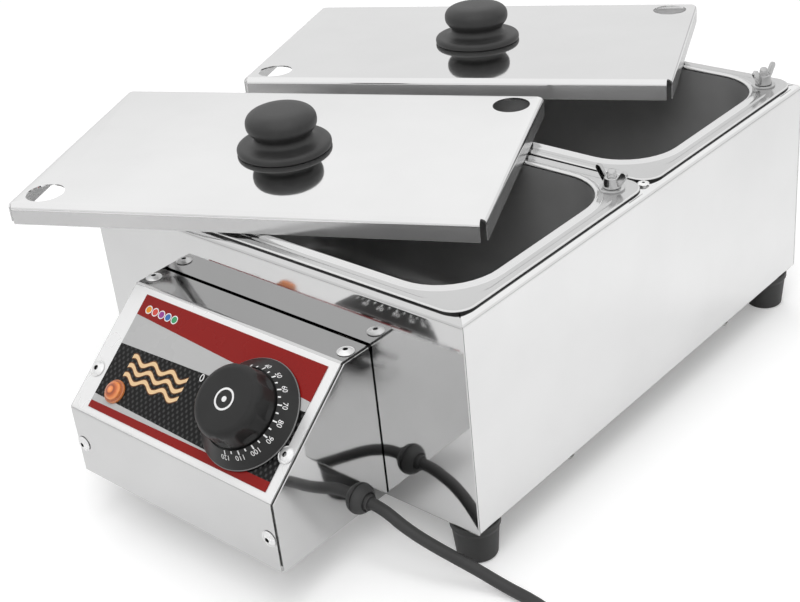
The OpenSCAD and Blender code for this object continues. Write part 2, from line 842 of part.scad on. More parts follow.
module feet() {
  color(rubber) foot_places() difference() {
    cylinder(h = foot_h, r1 = foot_bottom_r, r2 = foot_top_r);
    translate([0, 0, -1]) cylinder(h = foot_seat_z + 1, r = foot_bore_r);
    cylinder(h = foot_h + 1, r = foot_screw_r + hole_gap);
  }
}

module foot_screws() {
  color(zinc) foot_places() translate([0, 0, foot_seat_z])
    pan_screw(foot_screw_r, foot_h - foot_seat_z + 7, 3);
}

module foot_nuts() {
  color(zinc) foot_places() translate([0, 0, base_z]) difference() {
    cylinder(h = 4, r = 1.8 * foot_screw_r, $fn = 6);
    translate([0, 0, -1]) cylinder(h = 6, r = foot_screw_r + run_gap);
  }
}

// Control box

module box_strip(path, t) {
  polygon(concat(path, reversed(inset_path(path, t))));
}

module rivet_frames() {
  for (x = rivet_spots_x) {
    translate([x, box_top_y + box_top * 0.42, box_z2]) children();
    on_slope(x, slope_rivet_s) children();
    translate([x, box_front_y, box_z0 + box_front_h * 0.46]) rotate([90, 0, 0]) children();
  }
}

module control_housing() {
  under = inset_path(box_path, cover_t);
  rear_z = box_z2 - cover_t;
  color(steel) difference() {
    union() {
      for (m = [0, 1]) translate([box_x, 0, 0]) mirror([m, 0, 0]) translate([-box_x, 0, 0]) {
        along_x(box_x0, box_x0 + sheet) polygon(concat(under, [[front_y, box_z0]]));
        along_x(box_x0, box_x0 + box_flange) box_strip(under, sheet);
        translate([box_x0, front_y - sheet, box_z0]) cube([box_flange, sheet, rear_z - box_z0]);
      }
      translate([box_x0, under[0][0], box_z0]) cube([box_w, front_y - under[0][0], sheet]);
    }
    rivet_frames() cylinder(h = 20, r = rivet_r + hole_gap, center = true);
    housing_rivet_places() cylinder(h = 20, r = rivet_r + hole_gap, center = true);
    translate([box_x1 - sheet - 1, gland_y, gland_z])
      rotate([0, 90, 0]) cylinder(h = sheet + 2, r = gland_neck_r + hole_gap);
    terminal_place() for (s = [-1, 1]) translate([s * terminal_fix_x, 0, 0])
      cylinder(h = 9, r = 1.7, center = true);
  }
}

module control_cover() {
  color(steel) difference() {
    along_x(box_x0 + cover_inset, box_x1 - cover_inset) box_strip(box_path, cover_t);
    rivet_frames() cylinder(h = 20, r = rivet_r + hole_gap, center = true);
    on_slope(dial_cx, dial_s) thermostat_holes();
    on_slope(lamp_cx, lamp_s) cylinder(h = 10, r = lamp_hole_r + hole_gap, center = true);
  }
}

// Holes for the thermostat's shaft and its two screws
module thermostat_holes() {
  cylinder(h = 10, r = shaft_hole_r, center = true);
  for (s = [-1, 1]) translate([s * thermo_screw_pitch / 2, 0, 0])
    cylinder(h = 10, r = thermo_screw_r + hole_gap, center = true);
}

module cover_rivets() {
  color(zinc) rivet_frames() blind_rivet(rivet_head_r, rivet_r, rivet_dome, cover_t + sheet + 3);
}

// Rivets that hold the housing's back flanges to the casing, with their heads in the box
module housing_rivet_places() {
  for (x = rivet_spots_x, z = [box_z0 + box_flange + 4, box_z2 - box_flange - 4])
    translate([x, front_y - sheet, z]) rotate([90, 0, 0]) children();
}

module housing_rivets() {
  color(zinc) housing_rivet_places() blind_rivet(rivet_head_r - 1.2, rivet_r, 1.4, 2 * sheet + 3);
}

module faceplate() {
  color("firebrick") difference() {
    on_slope(plate_x0, plate_s) cube([plate_w, plate_h, plate_t]);
    for (x = rivet_spots_x) on_slope(x, slope_rivet_s)
      cylinder(h = 10, r = rivet_head_r + rest_gap, center = true);
    on_slope(dial_cx, dial_s) {
      cylinder(h = 10, r = shaft_hole_r, center = true);
      for (s = [-1, 1]) translate([s * thermo_screw_pitch / 2, 0, 0])
        cylinder(h = 10, r = 2.2 * thermo_screw_r, center = true);
    }
    on_slope(lamp_cx, lamp_s) cylinder(h = 10, r = lamp_hole_r + hole_gap, center = true);
  }
}

// Dial: conical skirt for the scale, domed grip with shallow scallops, hollow underneath
module dial_knob() {
  grip_z = skirt_z + skirt_h;
  top_round = 3;
  shoulder_z = dial_h - top_round;
  color(black_plastic) on_slope(dial_cx, dial_s) difference() {
    rotate_extrude() intersection() {
      union() {
        polygon([
          [0, skirt_z], [skirt_r, skirt_z], [skirt_r, skirt_z + 1], [grip_r + 0.6, grip_z],
          [grip_r, grip_z + 0.5], [grip_top_r, shoulder_z], [0, shoulder_z]
        ]);
        translate([grip_top_r - top_round, shoulder_z]) circle(top_round);
        square([grip_top_r - top_round, dial_h]);
      }
      translate([0, skirt_z]) square([skirt_r, dial_h]);
    }
    for (a = [0 : 45 : 315]) rotate(a + 10) translate([grip_r + 11.2, 0, grip_z + 1])
      cylinder(h = dial_h, r = 12);
    translate([0, 0, skirt_z - 1]) difference() {
      cylinder(h = dial_cavity_h + 1, r = grip_top_r);
      cylinder(h = dial_cavity_h + 2, r = dial_hub_r);
    }
    cylinder(h = dial_bore_h, r = shaft_r + run_gap);
  }
}

module thermostat_shaft() {
  low = cover_t + thermo_t - 4;
  color(zinc) on_slope(dial_cx, dial_s, -low) cylinder(h = low + dial_bore_h - 0.2, r = shaft_r);
}

// Thermostat: bracket against the cover, body, and the bush that the shaft turns in
module thermostat_body() {
  body_z = -cover_t - sheet - thermo_t;
  color(zinc) on_slope(dial_cx, dial_s) difference() {
    union() {
      translate([-thermo_w / 2, -9, -cover_t - sheet]) cube([thermo_w, 18, sheet]);
      translate([-thermo_w / 2 + 2, -thermo_w / 2 + 2, body_z]) cube([thermo_w - 4, thermo_w - 4, thermo_t]);
      translate([0, 0, -cover_t - eps]) cylinder(h = cover_t + eps, r = shaft_hole_r - hole_gap);
    }
    translate([0, 0, body_z + 4]) cylinder(h = thermo_t + 10, r = shaft_r + run_gap);
    for (s = [-1, 1]) translate([s * thermo_screw_pitch / 2, 0, -cover_t - 8])
      cylinder(h = 9, r = thermo_screw_r);
  }
}

module thermostat_screws() {
  color(zinc) on_slope(dial_cx, dial_s) for (s = [-1, 1]) translate([s * thermo_screw_pitch / 2, 0, 0])
    mirror([0, 0, 1]) pan_screw(thermo_screw_r - run_gap, cover_t + 6, 2.2);
}

// Pilot lamp

module pilot_lens() {
  color("darkorange") on_slope(lamp_cx, lamp_s) {
    translate([0, 0, plate_t]) cylinder(h = 1.6, r = lens_flange_r);
    translate([0, 0, plate_t + 1.6]) cylinder(h = 2, r = lens_r);
    intersection() {
      translate([0, 0, plate_t + 3.6]) sphere(lens_r);
      translate([0, 0, plate_t + 3.6]) cylinder(h = 3.4, r = lens_r);
    }
    translate([0, 0, -cover_t - pilot_stem]) cylinder(h = cover_t + pilot_stem + plate_t, r = lamp_hole_r);
  }
}

module pilot_clip() {
  color(zinc) on_slope(lamp_cx, lamp_s, -cover_t - 2) difference() {
    cylinder(h = 2, r = lamp_hole_r + 3.2);
    translate([0, 0, -1]) cylinder(h = 4, r = lamp_hole_r + run_gap);
  }
}

module pilot_holder() {
  color(ceramic) on_slope(lamp_cx, lamp_s, -cover_t - pilot_stem - pilot_l) {
    cylinder(h = pilot_l, r = lamp_hole_r + 1);
    for (s = [-1, 1]) translate([s * pilot_tab_x - 0.4, -1.6, -pilot_tab]) cube([0.8, 3.2, pilot_tab + 0.5]);
  }
}

// Terminal block on the floor of the control box
module terminal_place() {
  translate(term) children();
}

module terminal_block() {
  color(ceramic) terminal_place() difference() {
    translate([-terminal_l / 2, -terminal_w / 2, 0]) cube([terminal_l, terminal_w, terminal_h]);
    for (k = [-1 : 1], s = [-1, 1]) translate([k * terminal_pitch, 0, 0]) {
      translate([0, s * terminal_screw_y, terminal_h - 6]) cylinder(h = 7, r = 2.3);
      translate([0, s * (terminal_w / 2 + 1), terminal_entry_z])
        rotate([s * 90, 0, 0]) cylinder(h = 7, r = 1.8);
    }
    for (s = [-1, 1]) translate([s * terminal_fix_x, 0, -1]) cylinder(h = 7, r = 1.7);
  }
}

module terminal_screws() {
  color("goldenrod") terminal_place() for (k = [-1 : 1], s = [-1, 1])
    translate([k * terminal_pitch, s * terminal_screw_y, terminal_h - 6]) cylinder(h = 4.5, r = 2.2);
}

// Bush that lines the wiring hole in the front wall
module wire_bush() {
  color(rubber) translate([box_x, front_y + sheet / 2, wire_hole_z]) rotate([90, 0, 0]) difference() {
    union() {
      cylinder(h = sheet, r = wire_hole_r, center = true);
      for (s = [-1, 1]) translate([0, 0, s * (sheet / 2 + 1)])
        cylinder(h = 2, r = wire_hole_r + 2, center = true);
    }
    cylinder(h = 10, r = wire_hole_r - 2, center = true);
  }
}

// Heating

// Hairpin element: two legs and a round turn, ends towards the left
module heater(cy) {
  half = heater_pitch / 2;
  color("dimgray") translate([-heater_l / 2, cy, heater_z]) {
    for (s = [-1, 1]) translate([0, s * half, 0])
      rotate([0, 90, 0]) cylinder(h = heater_l - half + 8, r = heater_r);
    translate([heater_l - half + 8, 0, 0]) rotate(-90) rotate_extrude(angle = 180)
      translate([half, 0]) circle(heater_r, $fn = 24);
  }
}

module front_heater() {
  heater(-pan_cy);
}

module rear_heater() {
  heater(pan_cy);
}

// Bent strips that stand on the bottom plate and press the elements against the pans
module heater_bracket() {
  top = heater_z - heater_r - 0.1;
  half = bracket_span / 2;
  t = bracket_sheet;
  foot = 10;
  along_x(-bracket_w / 2, bracket_w / 2) {
    translate([-half, top - t]) square([2 * half, t]);
    for (m = [0, 1]) mirror([m, 0]) {
      translate([half - t, base_z]) square([t, top - base_z]);
      translate([half - foot, base_z]) square([foot, t]);
    }
  }
}

module heater_brackets() {
  color(zinc) for (y = [-pan_cy, pan_cy], x = [-heater_l / 4, heater_l / 4])
    translate([x, y, 0]) heater_bracket();
}

module heater_insulators() {
  color(ceramic) for (y = [-pan_cy, pan_cy], s = [-1, 1])
    translate([-heater_l / 2 - insulator_l, y + s * heater_pitch / 2, heater_z])
      rotate([0, 90, 0]) cylinder(h = insulator_l, r = insulator_r - 1.3);
}

module sensing_bulb() {
  color(copper) translate([-bulb_l / 2, -pan_cy, bulb_z]) rotate([0, 90, 0]) cylinder(h = bulb_l, r = bulb_r);
}

// Straps under the front pan that hold the bulb
module bulb_clips() {
  t = 0.8;
  inner = bulb_r + 0.15;
  color(zinc) for (x = [-bulb_l / 4, bulb_l / 4]) translate([x - 4, -pan_cy, 0]) along_x(0, 8) difference() {
    translate([-inner - t, bulb_z - inner - t]) square([2 * (inner + t), pan_out_z - bulb_z + inner + t]);
    translate([-inner, bulb_z - inner]) square([2 * inner, pan_out_z]);
  }
}

// Wiring: each run ends against the piece that it serves
slope_in = [0, sin(slope_angle), -cos(slope_angle)];
slope_up = [0, cos(slope_angle), sin(slope_angle)];
function in_slope(x, s, d) = [x, box_path[1][0], box_path[1][1]] + s * slope_up + d * slope_in;
function thermo_at(u, v, d) =
  in_slope(dial_cx + bend * u, dial_s + bend * v, cover_t + sheet + thermo_t + bend * d);
function lamp_at(u, d) = in_slope(lamp_cx + u, lamp_s, cover_t + pilot_stem + pilot_l + pilot_tab + bend * d);
function entry(k, side, d) =
  term + [k * terminal_pitch, side * (terminal_w / 2 + bend * d), terminal_entry_z];

module run(points, r) {
  tube(points, r, wire_sides);
}

module capillary() {
  turn_x = bulb_l / 2 + 2.2 * bend;
  color(copper) run([
    thermo_at(0, 0.8, 0), thermo_at(0, 0.8, 0.6), hole + bend * [2.2, -1.8, 1.1],
    hole + bend * [0.3, -0.7, 0.47], hole + bend * [0.3, 0.35, 0.47],
    [hole[0] + 1.4 * bend, lane_in, hole[2] + 0.3 * bend], [hole[0] + 5.2 * bend, lane_in, hole[2] - bend],
    [turn_x, lane_in + bend, bulb_z - 0.8 * bend], [turn_x, -pan_cy - 0.9 * bend, bulb_z - 0.6 * bend],
    [bulb_l / 2 + 1.2 * bend, -pan_cy, bulb_z], [bulb_l / 2, -pan_cy, bulb_z]
  ], 0.9 * wire_r);
}

// One run from the terminal block and one from the thermostat, with links on to the rear element
module heater_wires() {
  x = -heater_l / 2 - insulator_l;
  room = body_w / 2 - sheet + x;
  half = heater_pitch / 2;
  up = 1.5 * wire_r;
  straight = x - 0.1 * room;
  color("white") {
    run([
      entry(0, 1, -0.25), entry(0, 1, 0.7), hole + bend * [1, -1.2, -1], hole + bend * [-0.2, -0.7, -0.2],
      hole + bend * [-0.2, 0.35, -0.2], [hole[0] - 1.2 * bend, lane_in, hole[2] - 0.2 * bend],
      [x - 0.46 * room, lane_in, hole[2] - 0.2 * bend],
      [x - 0.46 * room, lane_in + 0.8 * bend, heater_z - 0.2 * bend],
      [x - 0.33 * room, -pan_cy - half - 0.4 * bend, heater_z],
      [straight, -pan_cy - half, heater_z + up], [x, -pan_cy - half, heater_z + up]
    ], wire_r);
    run([
      thermo_at(-0.8, 0, 0), thermo_at(-0.8, 0, 0.8), hole + bend * [1.8, -1.8, 0.45],
      hole + bend * [-0.1, -0.7, 0.2], hole + bend * [-0.1, 0.35, 0.2],
      [hole[0] - bend, lane_out, hole[2] + 0.2 * bend], [x - 0.72 * room, lane_out, hole[2] + 0.2 * bend],
      [x - 0.72 * room, lane_out + 1.3 * bend, heater_z - bend],
      [x - 0.52 * room, -pan_cy + 1.2 * bend, heater_z - 1.2 * bend],
      [x - 0.33 * room, -pan_cy + half - 0.3 * bend, heater_z - 0.1 * bend],
      [straight, -pan_cy + half, heater_z + up], [x, -pan_cy + half, heater_z + up]
    ], wire_r);
    run([
      [x, -pan_cy - half, heater_z - up], [straight, -pan_cy - half, heater_z - up],
      [x - 0.26 * room, -pan_cy - half + 0.2 * bend, heater_z - 0.4 * bend],
      [x - 0.43 * room, -pan_cy, base_z + 0.8 * bend], [x - 0.43 * room, pan_cy, base_z + 0.8 * bend],
      [x - 0.26 * room, pan_cy + half - 0.2 * bend, heater_z - 0.4 * bend],
      [straight, pan_cy + half, heater_z], [x, pan_cy + half, heater_z]
    ], wire_r);
    run([
      [x, -pan_cy + half, heater_z - up], [straight, -pan_cy + half, heater_z - up],
      [x - 0.2 * room, -pan_cy + half + 0.4 * bend, heater_z - 0.4 * bend],
      [x - 0.3 * room, -2 * bend, heater_z - 0.8 * bend], [x - 0.3 * room, 2 * bend, heater_z - 0.8 * bend],
      [x - 0.2 * room, pan_cy - half - 0.4 * bend, heater_z - 0.4 * bend],
      [straight, pan_cy - half, heater_z], [x, pan_cy - half, heater_z]
    ], wire_r);
  }
}

module lamp_wires() {
  screw = term + [0, -terminal_screw_y, terminal_h];
  color("white") {
    run([
      lamp_at(pilot_tab_x, 0), lamp_at(pilot_tab_x, 0.6), lamp_at(1.6 * bend, 0.8) + bend * [0, 0.2, 0.2],
      thermo_at(-2.4, -0.8, 1), thermo_at(-0.8, -0.8, 0.6), thermo_at(-0.8, -0.8, 0)
    ], 0.8 * wire_r);
    run([
      lamp_at(-pilot_tab_x, 0), lamp_at(-pilot_tab_x, 0.6), lamp_at(0.8 * bend, 1.4),
      screw + bend * [-2, 0, 0.6], screw + bend * [-0.5, 0, 0.6], screw + bend * [0, 0, 0.3],
      screw + bend * [0, 0, -0.15]
    ], 0.8 * wire_r);
  }
}

// The cord's three cores from its gland to the terminal block, and the live run on to the thermostat
module supply_wires() {
  start = [box_x1 - sheet - gland_flange_t, gland_y, gland_z];
  core_1 = start + wire_r * [0, 0, 1.7];
  core_2 = start + wire_r * [0, 1.5, -0.9];
  core_3 = start + wire_r * [0, -1.5, -0.9];
  straight = bend * [-0.2, 0, 0];
  color("saddlebrown") {
    run([
      core_1, core_1 + straight, start + bend * [-0.9, -0.3, 0.15], term + bend * [2.85, -1.2, 1.05],
      term + bend * [1.7, -1.6, 0.6], entry(1, -1, 0.6), entry(1, -1, -0.25)
    ], wire_r);
    run([
      core_2, core_2 + straight, start + bend * [-0.9, -0.15, -0.3], term + bend * [2.65, -1.7, 0.65],
      term + bend * [1.05, -2.5, 0.6], entry(0, -1, 1.3), entry(0, -1, -0.25)
    ], wire_r);
    run([
      core_3, core_3 + straight, start + bend * [-0.9, -0.7, -0.4], term + bend * [2.65, -2.4, 0.55],
      term + bend * [0.05, -3.2, 0.45], entry(-1, -1, 1.9), entry(-1, -1, -0.25)
    ], wire_r);
    run([
      entry(1, 1, -0.25), entry(1, 1, 0.7), term + bend * [2.05, 2, 1.85], thermo_at(0.8, 0, 2.4),
      thermo_at(0.8, 0, 0.8), thermo_at(0.8, 0, 0)
    ], wire_r);
  }
}

earth = [-body_w / 2 + 4 * bend, front_y + 2.4 * bend];

module earth_place() {
  translate([earth[0], earth[1], plate_z]) children();
}

module earth_screw() {
  color("goldenrod") earth_place() pan_screw(base_screw_r, 8, 2);
}

// Earth lead: a ring with a crimped neck under its screw, and a run from the terminal block
module earth_wire() {
  ring_r = 4.5;
  neck_r = 1.6;
  neck_l = 6;
  end_y = earth[1] - 0.8 * ring_r - neck_l;
  color("yellowgreen") {
    translate([earth[0], earth[1], base_z]) difference() {
      union() {
        cylinder(h = 1, r = ring_r);
        translate([0, -0.8 * ring_r, neck_r]) rotate([90, 0, 0]) cylinder(h = neck_l, r = neck_r);
      }
      translate([0, 0, -1]) cylinder(h = 6, r = base_screw_r + run_gap);
    }
    run([
      entry(-1, 1, -0.25), entry(-1, 1, 0.7), hole + bend * [0.65, -1.2, -1.4],
      hole + bend * [0.2, -0.7, -0.52], hole + bend * [0.2, 0.35, -0.52],
      [hole[0] - 0.7 * bend, lane_out, hole[2] - 0.52 * bend],
      [earth[0] + bend, lane_out, hole[2] - 0.52 * bend],
      [earth[0] + 0.2 * bend, lane_out + 0.2 * bend, base_z + 1.6 * bend],
      [earth[0], end_y - 0.4 * bend, base_z + neck_r], [earth[0], end_y, base_z + neck_r]
    ], wire_r);
  }
}

// Cord

// Rubber gland: flange inside the wall, dome outside, short nose
module cord_gland() {
  wall = box_x1;
  dome_l = 7;
  color(rubber) translate([wall, gland_y, gland_z]) rotate([0, 90, 0]) rotate_extrude() union() {
    translate([0, -sheet - gland_flange_t]) square([gland_neck_r + 2.2, gland_flange_t]);
    translate([0, -sheet - eps]) square([gland_neck_r, sheet + 1]);
    intersection() {
      scale([1, dome_l / gland_dome_r]) circle(gland_dome_r);
      square([gland_dome_r + 1, dome_l]);
    }
    square([cord_r + 1.2, gland_tip_x - wall]);
  }
}

module power_cord() {
  color(rubber) tube(route, cord_r, route_sides);
}

module cord_coil() {
  color(rubber) tube(coil_points, cord_r, coil_sides);
}

// Strap around the coil's turns
module coil_tie() {
  slack = 0.6;
  low_r = min([for (k = [0 : floor(coil_turns - 0.25)]) coil_radius(k + 0.25)]) - cord_r - slack;
  high_r = max([for (k = [0 : floor(coil_turns - 0.25)]) coil_radius(k + 0.25)]) + cord_r + slack;
  low_z = coil_start[2] - cord_r - 0.2;
  high_z = coil_start[2] + coil_layer + cord_r + 0.3;
  color("dimgray") translate([coil_c[0], coil_c[1] - tie_w / 2, 0]) difference() {
    translate([low_r - tie_t, 0, low_z - tie_t])
      cube([high_r - low_r + 2 * tie_t, tie_w, high_z - low_z + 2 * tie_t]);
    translate([low_r, -1, low_z]) cube([high_r - low_r, tie_w + 2, high_z - low_z]);
  }
}

// Place at the cord's end, with Z along the cord
module at_plug() {
  translate(plug_end) rotate([0, 90, atan2(coil_exit[1], coil_exit[0])]) children();
}

module plug() {
  neck_l = 16;
  edge = 2;
  color(rubber) at_plug() rotate_extrude() {
    polygon([[0, 0], [cord_r + 0.6, 0], [cord_r + 2.2, neck_l], [plug_r - 1, neck_l + 5],
      [plug_r, neck_l + 9], [plug_r, plug_l - edge], [plug_r - edge, plug_l], [0, plug_l]]);
  }
}

module plug_pins() {
  pin_r = 2;
  color(zinc) at_plug() for (y = [-1, 1]) translate([0, y * 6, plug_l]) cylinder(h = 19, r = pin_r);
}

front_wall();
rear_wall();
left_wall();
right_wall();
bottom_plate();
base_screws();
bridge_rail();
bridge_rivets();
stud_brackets();
clamp_studs();
clamp_washers();
wing_nut_front_left();
wing_nut_front_right();
wing_nut_rear_left();
wing_nut_rear_right();
front_pan();
rear_pan();
front_lid();
rear_lid();
front_lid_knob();
rear_lid_knob();
front_lid_screw();
rear_lid_screw();
feet();
foot_screws();
foot_nuts();
control_housing();
control_cover();
cover_rivets();
housing_rivets();
faceplate();
dial_knob();
thermostat_shaft();
thermostat_body();
thermostat_screws();
pilot_lens();
pilot_clip();
pilot_holder();
terminal_block();
terminal_screws();
wire_bush();
front_heater();
rear_heater();
heater_brackets();
heater_insulators();
capillary();
sensing_bulb();
bulb_clips();
heater_wires();
lamp_wires();
supply_wires();
earth_wire();
earth_screw();
cord_gland();
power_cord();
cord_coil();
coil_tie();
plug();
plug_pins();
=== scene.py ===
from functools import partial
from math import acos, atan2, cos, degrees, hypot, pi, radians, sin, sqrt, tan, tau

import bmesh
import bpy
from mathutils import Euler, Matrix, Vector


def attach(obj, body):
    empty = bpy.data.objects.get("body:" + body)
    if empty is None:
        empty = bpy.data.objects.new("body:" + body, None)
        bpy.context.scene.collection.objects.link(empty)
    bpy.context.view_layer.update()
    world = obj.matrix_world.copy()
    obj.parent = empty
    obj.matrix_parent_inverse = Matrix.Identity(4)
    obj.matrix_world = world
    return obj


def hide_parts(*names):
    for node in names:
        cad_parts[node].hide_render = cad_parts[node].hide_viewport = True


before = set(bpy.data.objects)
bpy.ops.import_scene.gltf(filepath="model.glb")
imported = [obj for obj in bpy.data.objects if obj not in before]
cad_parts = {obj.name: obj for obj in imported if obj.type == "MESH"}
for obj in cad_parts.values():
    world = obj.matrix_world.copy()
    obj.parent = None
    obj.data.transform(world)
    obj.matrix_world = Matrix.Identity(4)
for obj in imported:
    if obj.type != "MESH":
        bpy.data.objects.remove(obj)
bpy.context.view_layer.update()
scene = bpy.context.scene
milli = 0.001  # sizes below are in millimetres
scene.view_settings.view_transform = "Standard"


def addObject(name, data):
    obj = bpy.data.objects.new(name, data)
    scene.collection.objects.link(obj)
    return obj


# Camera at the photograph's viewing angle
cameraSizes = {
    "place": (514.67, -599.73, 492.46), "azimuth": 43.825, "elevation": 29.617, "roll": -6.222,
    "lens": 65.22, "sensor": 36.0, "clipEnd": 30,
}


def addCamera(place, azimuth, elevation, roll, lens, sensor, clipEnd):
    turn, tilt, roll = (radians(a) for a in (azimuth, elevation, roll))
    ahead = Vector((-sin(turn) * cos(tilt), cos(turn) * cos(tilt), -sin(tilt)))
    level = Vector((cos(turn), sin(turn), 0))
    upright = level.cross(ahead)
    right = cos(roll) * level + sin(roll) * upright
    top = cos(roll) * upright - sin(roll) * level
    data = bpy.data.cameras.new("tableCamera")
    data.sensor_fit = "HORIZONTAL"
    data.sensor_width, data.lens, data.clip_end = sensor, lens, clipEnd
    cam = addObject("tableCamera", data)
    axes = Matrix((right, top, -ahead)).transposed().to_4x4()
    cam.matrix_world = Matrix.Translation(Vector(place) * milli) @ axes
    scene.camera = cam


addCamera(**cameraSizes)
print("camera set")


# Nodes: a plain value is set on the socket itself, a socket of another node is linked to it
def feed(tree, inputs, values):
    for key, value in values.items():
        if isinstance(value, bpy.types.NodeSocket):
            tree.links.new(value, inputs[key])
        else:
            inputs[key].default_value = value


def addNode(tree, kind, values, **settings):
    node = tree.nodes.new(kind)
    for key, value in settings.items():
        setattr(node, key, value)
    feed(tree, node.inputs, values)
    return node.outputs


def addMath(tree, kind, *values):
    return addNode(tree, "ShaderNodeMath", dict(enumerate(values)), operation=kind)[0]


def remap(tree, value, target, source=(0, 1), **settings):
    ends = dict(zip(("From Min", "From Max", "To Min", "To Max"), (*source, *target)))
    return addNode(tree, "ShaderNodeMapRange", {"Value": value, **ends}, **settings)["Result"]


def asColour(value):
    if isinstance(value, bpy.types.NodeSocket):
        return value
    return (value, value, value, 1) if isinstance(value, (int, float)) else (*value, 1)


def mixColour(tree, factor, first, second):
    values = {"Factor": factor, 6: asColour(first), 7: asColour(second)}
    return addNode(tree, "ShaderNodeMix", values, data_type="RGBA")[2]


def bumpFrom(tree, height, strength, depth):
    values = {"Height": height, "Strength": strength, "Distance": depth * milli}
    return addNode(tree, "ShaderNodeBump", values)["Normal"]


def objectPlace(tree):
    return tree.nodes.new("ShaderNodeTexCoord").outputs["Object"]


def splitUp(tree, where):
    return addNode(tree, "ShaderNodeSeparateXYZ", {"Vector": where})


def platePlace(tree):
    return splitUp(tree, addNode(tree, "ShaderNodeUVMap", {}, uv_map="plateMap")["UV"])


def addWave(tree, direction, scale):
    values = {"Vector": objectPlace(tree), "Scale": scale}
    return addNode(tree, "ShaderNodeTexWave", values, bands_direction=direction)["Fac"]


def startGroup(name, kind, inputs, outputs):
    tree = bpy.data.node_groups.new(name, kind + "NodeTree")
    for direction, sockets in (("INPUT", inputs), ("OUTPUT", outputs)):
        for socket, what in sockets.items():
            tree.interface.new_socket(name=socket, in_out=direction, socket_type="NodeSocket" + what)
    return tree, tree.nodes.new("NodeGroupInput").outputs, tree.nodes.new("NodeGroupOutput").inputs


# Soft patches and fine grain over a surface, shared by the finishes: detail and roughness of each noise
markNoises = {"Patch": (3.0, 0.55), "Grain": (2.0, 0.5)}
noiseRange = (0.3, 0.7)


def buildSurfaceMarks():
    tree, ins, outs = startGroup("surfaceMarks", "Shader", {name + " Scale": "Float" for name in markNoises},
                                 {name: "Float" for name in markNoises})
    where = objectPlace(tree)
    for name, (detail, rough) in markNoises.items():
        noise = addNode(tree, "ShaderNodeTexNoise", {
            "Vector": where, "Scale": ins[name + " Scale"], "Detail": detail, "Roughness": rough})
        feed(tree, outs, {name: remap(tree, noise["Fac"], (0, 1), noiseRange)})
    return tree


surfaceMarks = buildSurfaceMarks()


# Finishes

def startMaterial(name):
    material = bpy.data.materials.new(name)
    material.use_nodes = True
    tree = material.node_tree
    return material, tree, tree.nodes["Principled BSDF"].inputs


# An overlay paints over the plain colour
def plainFinish(name, tones, rough, metal=1, scales=(14, 1500), bump=("Patch", 0.05, 0.5), sheen=0.5, overlay=None):
    material, tree, shader = startMaterial(name)
    marks = addNode(tree, "ShaderNodeGroup", {"Patch Scale": scales[0], "Grain Scale": scales[1]},
                    node_tree=surfaceMarks)
    colour = mixColour(tree, marks["Patch"], *tones)
    feed(tree, shader, {
        "Base Color": overlay(tree, colour) if overlay else colour, "Metallic": metal, "Specular IOR Level": sheen,
        "Roughness": remap(tree, marks["Patch"], rough),
    })
    if bump:
        mark, strength, depth = bump
        feed(tree, shader, {"Normal": bumpFrom(tree, marks[mark], strength, depth)})
    return material


# Green insulation with a yellow stripe wound round it
stripeSizes = {"scale": 45, "above": 0.62, "yellow": (0.70, 0.52, 0.03)}


def earthStripe(tree, colour):
    wave = addWave(tree, "DIAGONAL", stripeSizes["scale"])
    stripe = addMath(tree, "GREATER_THAN", wave, stripeSizes["above"])
    return mixColour(tree, stripe, colour, stripeSizes["yellow"])


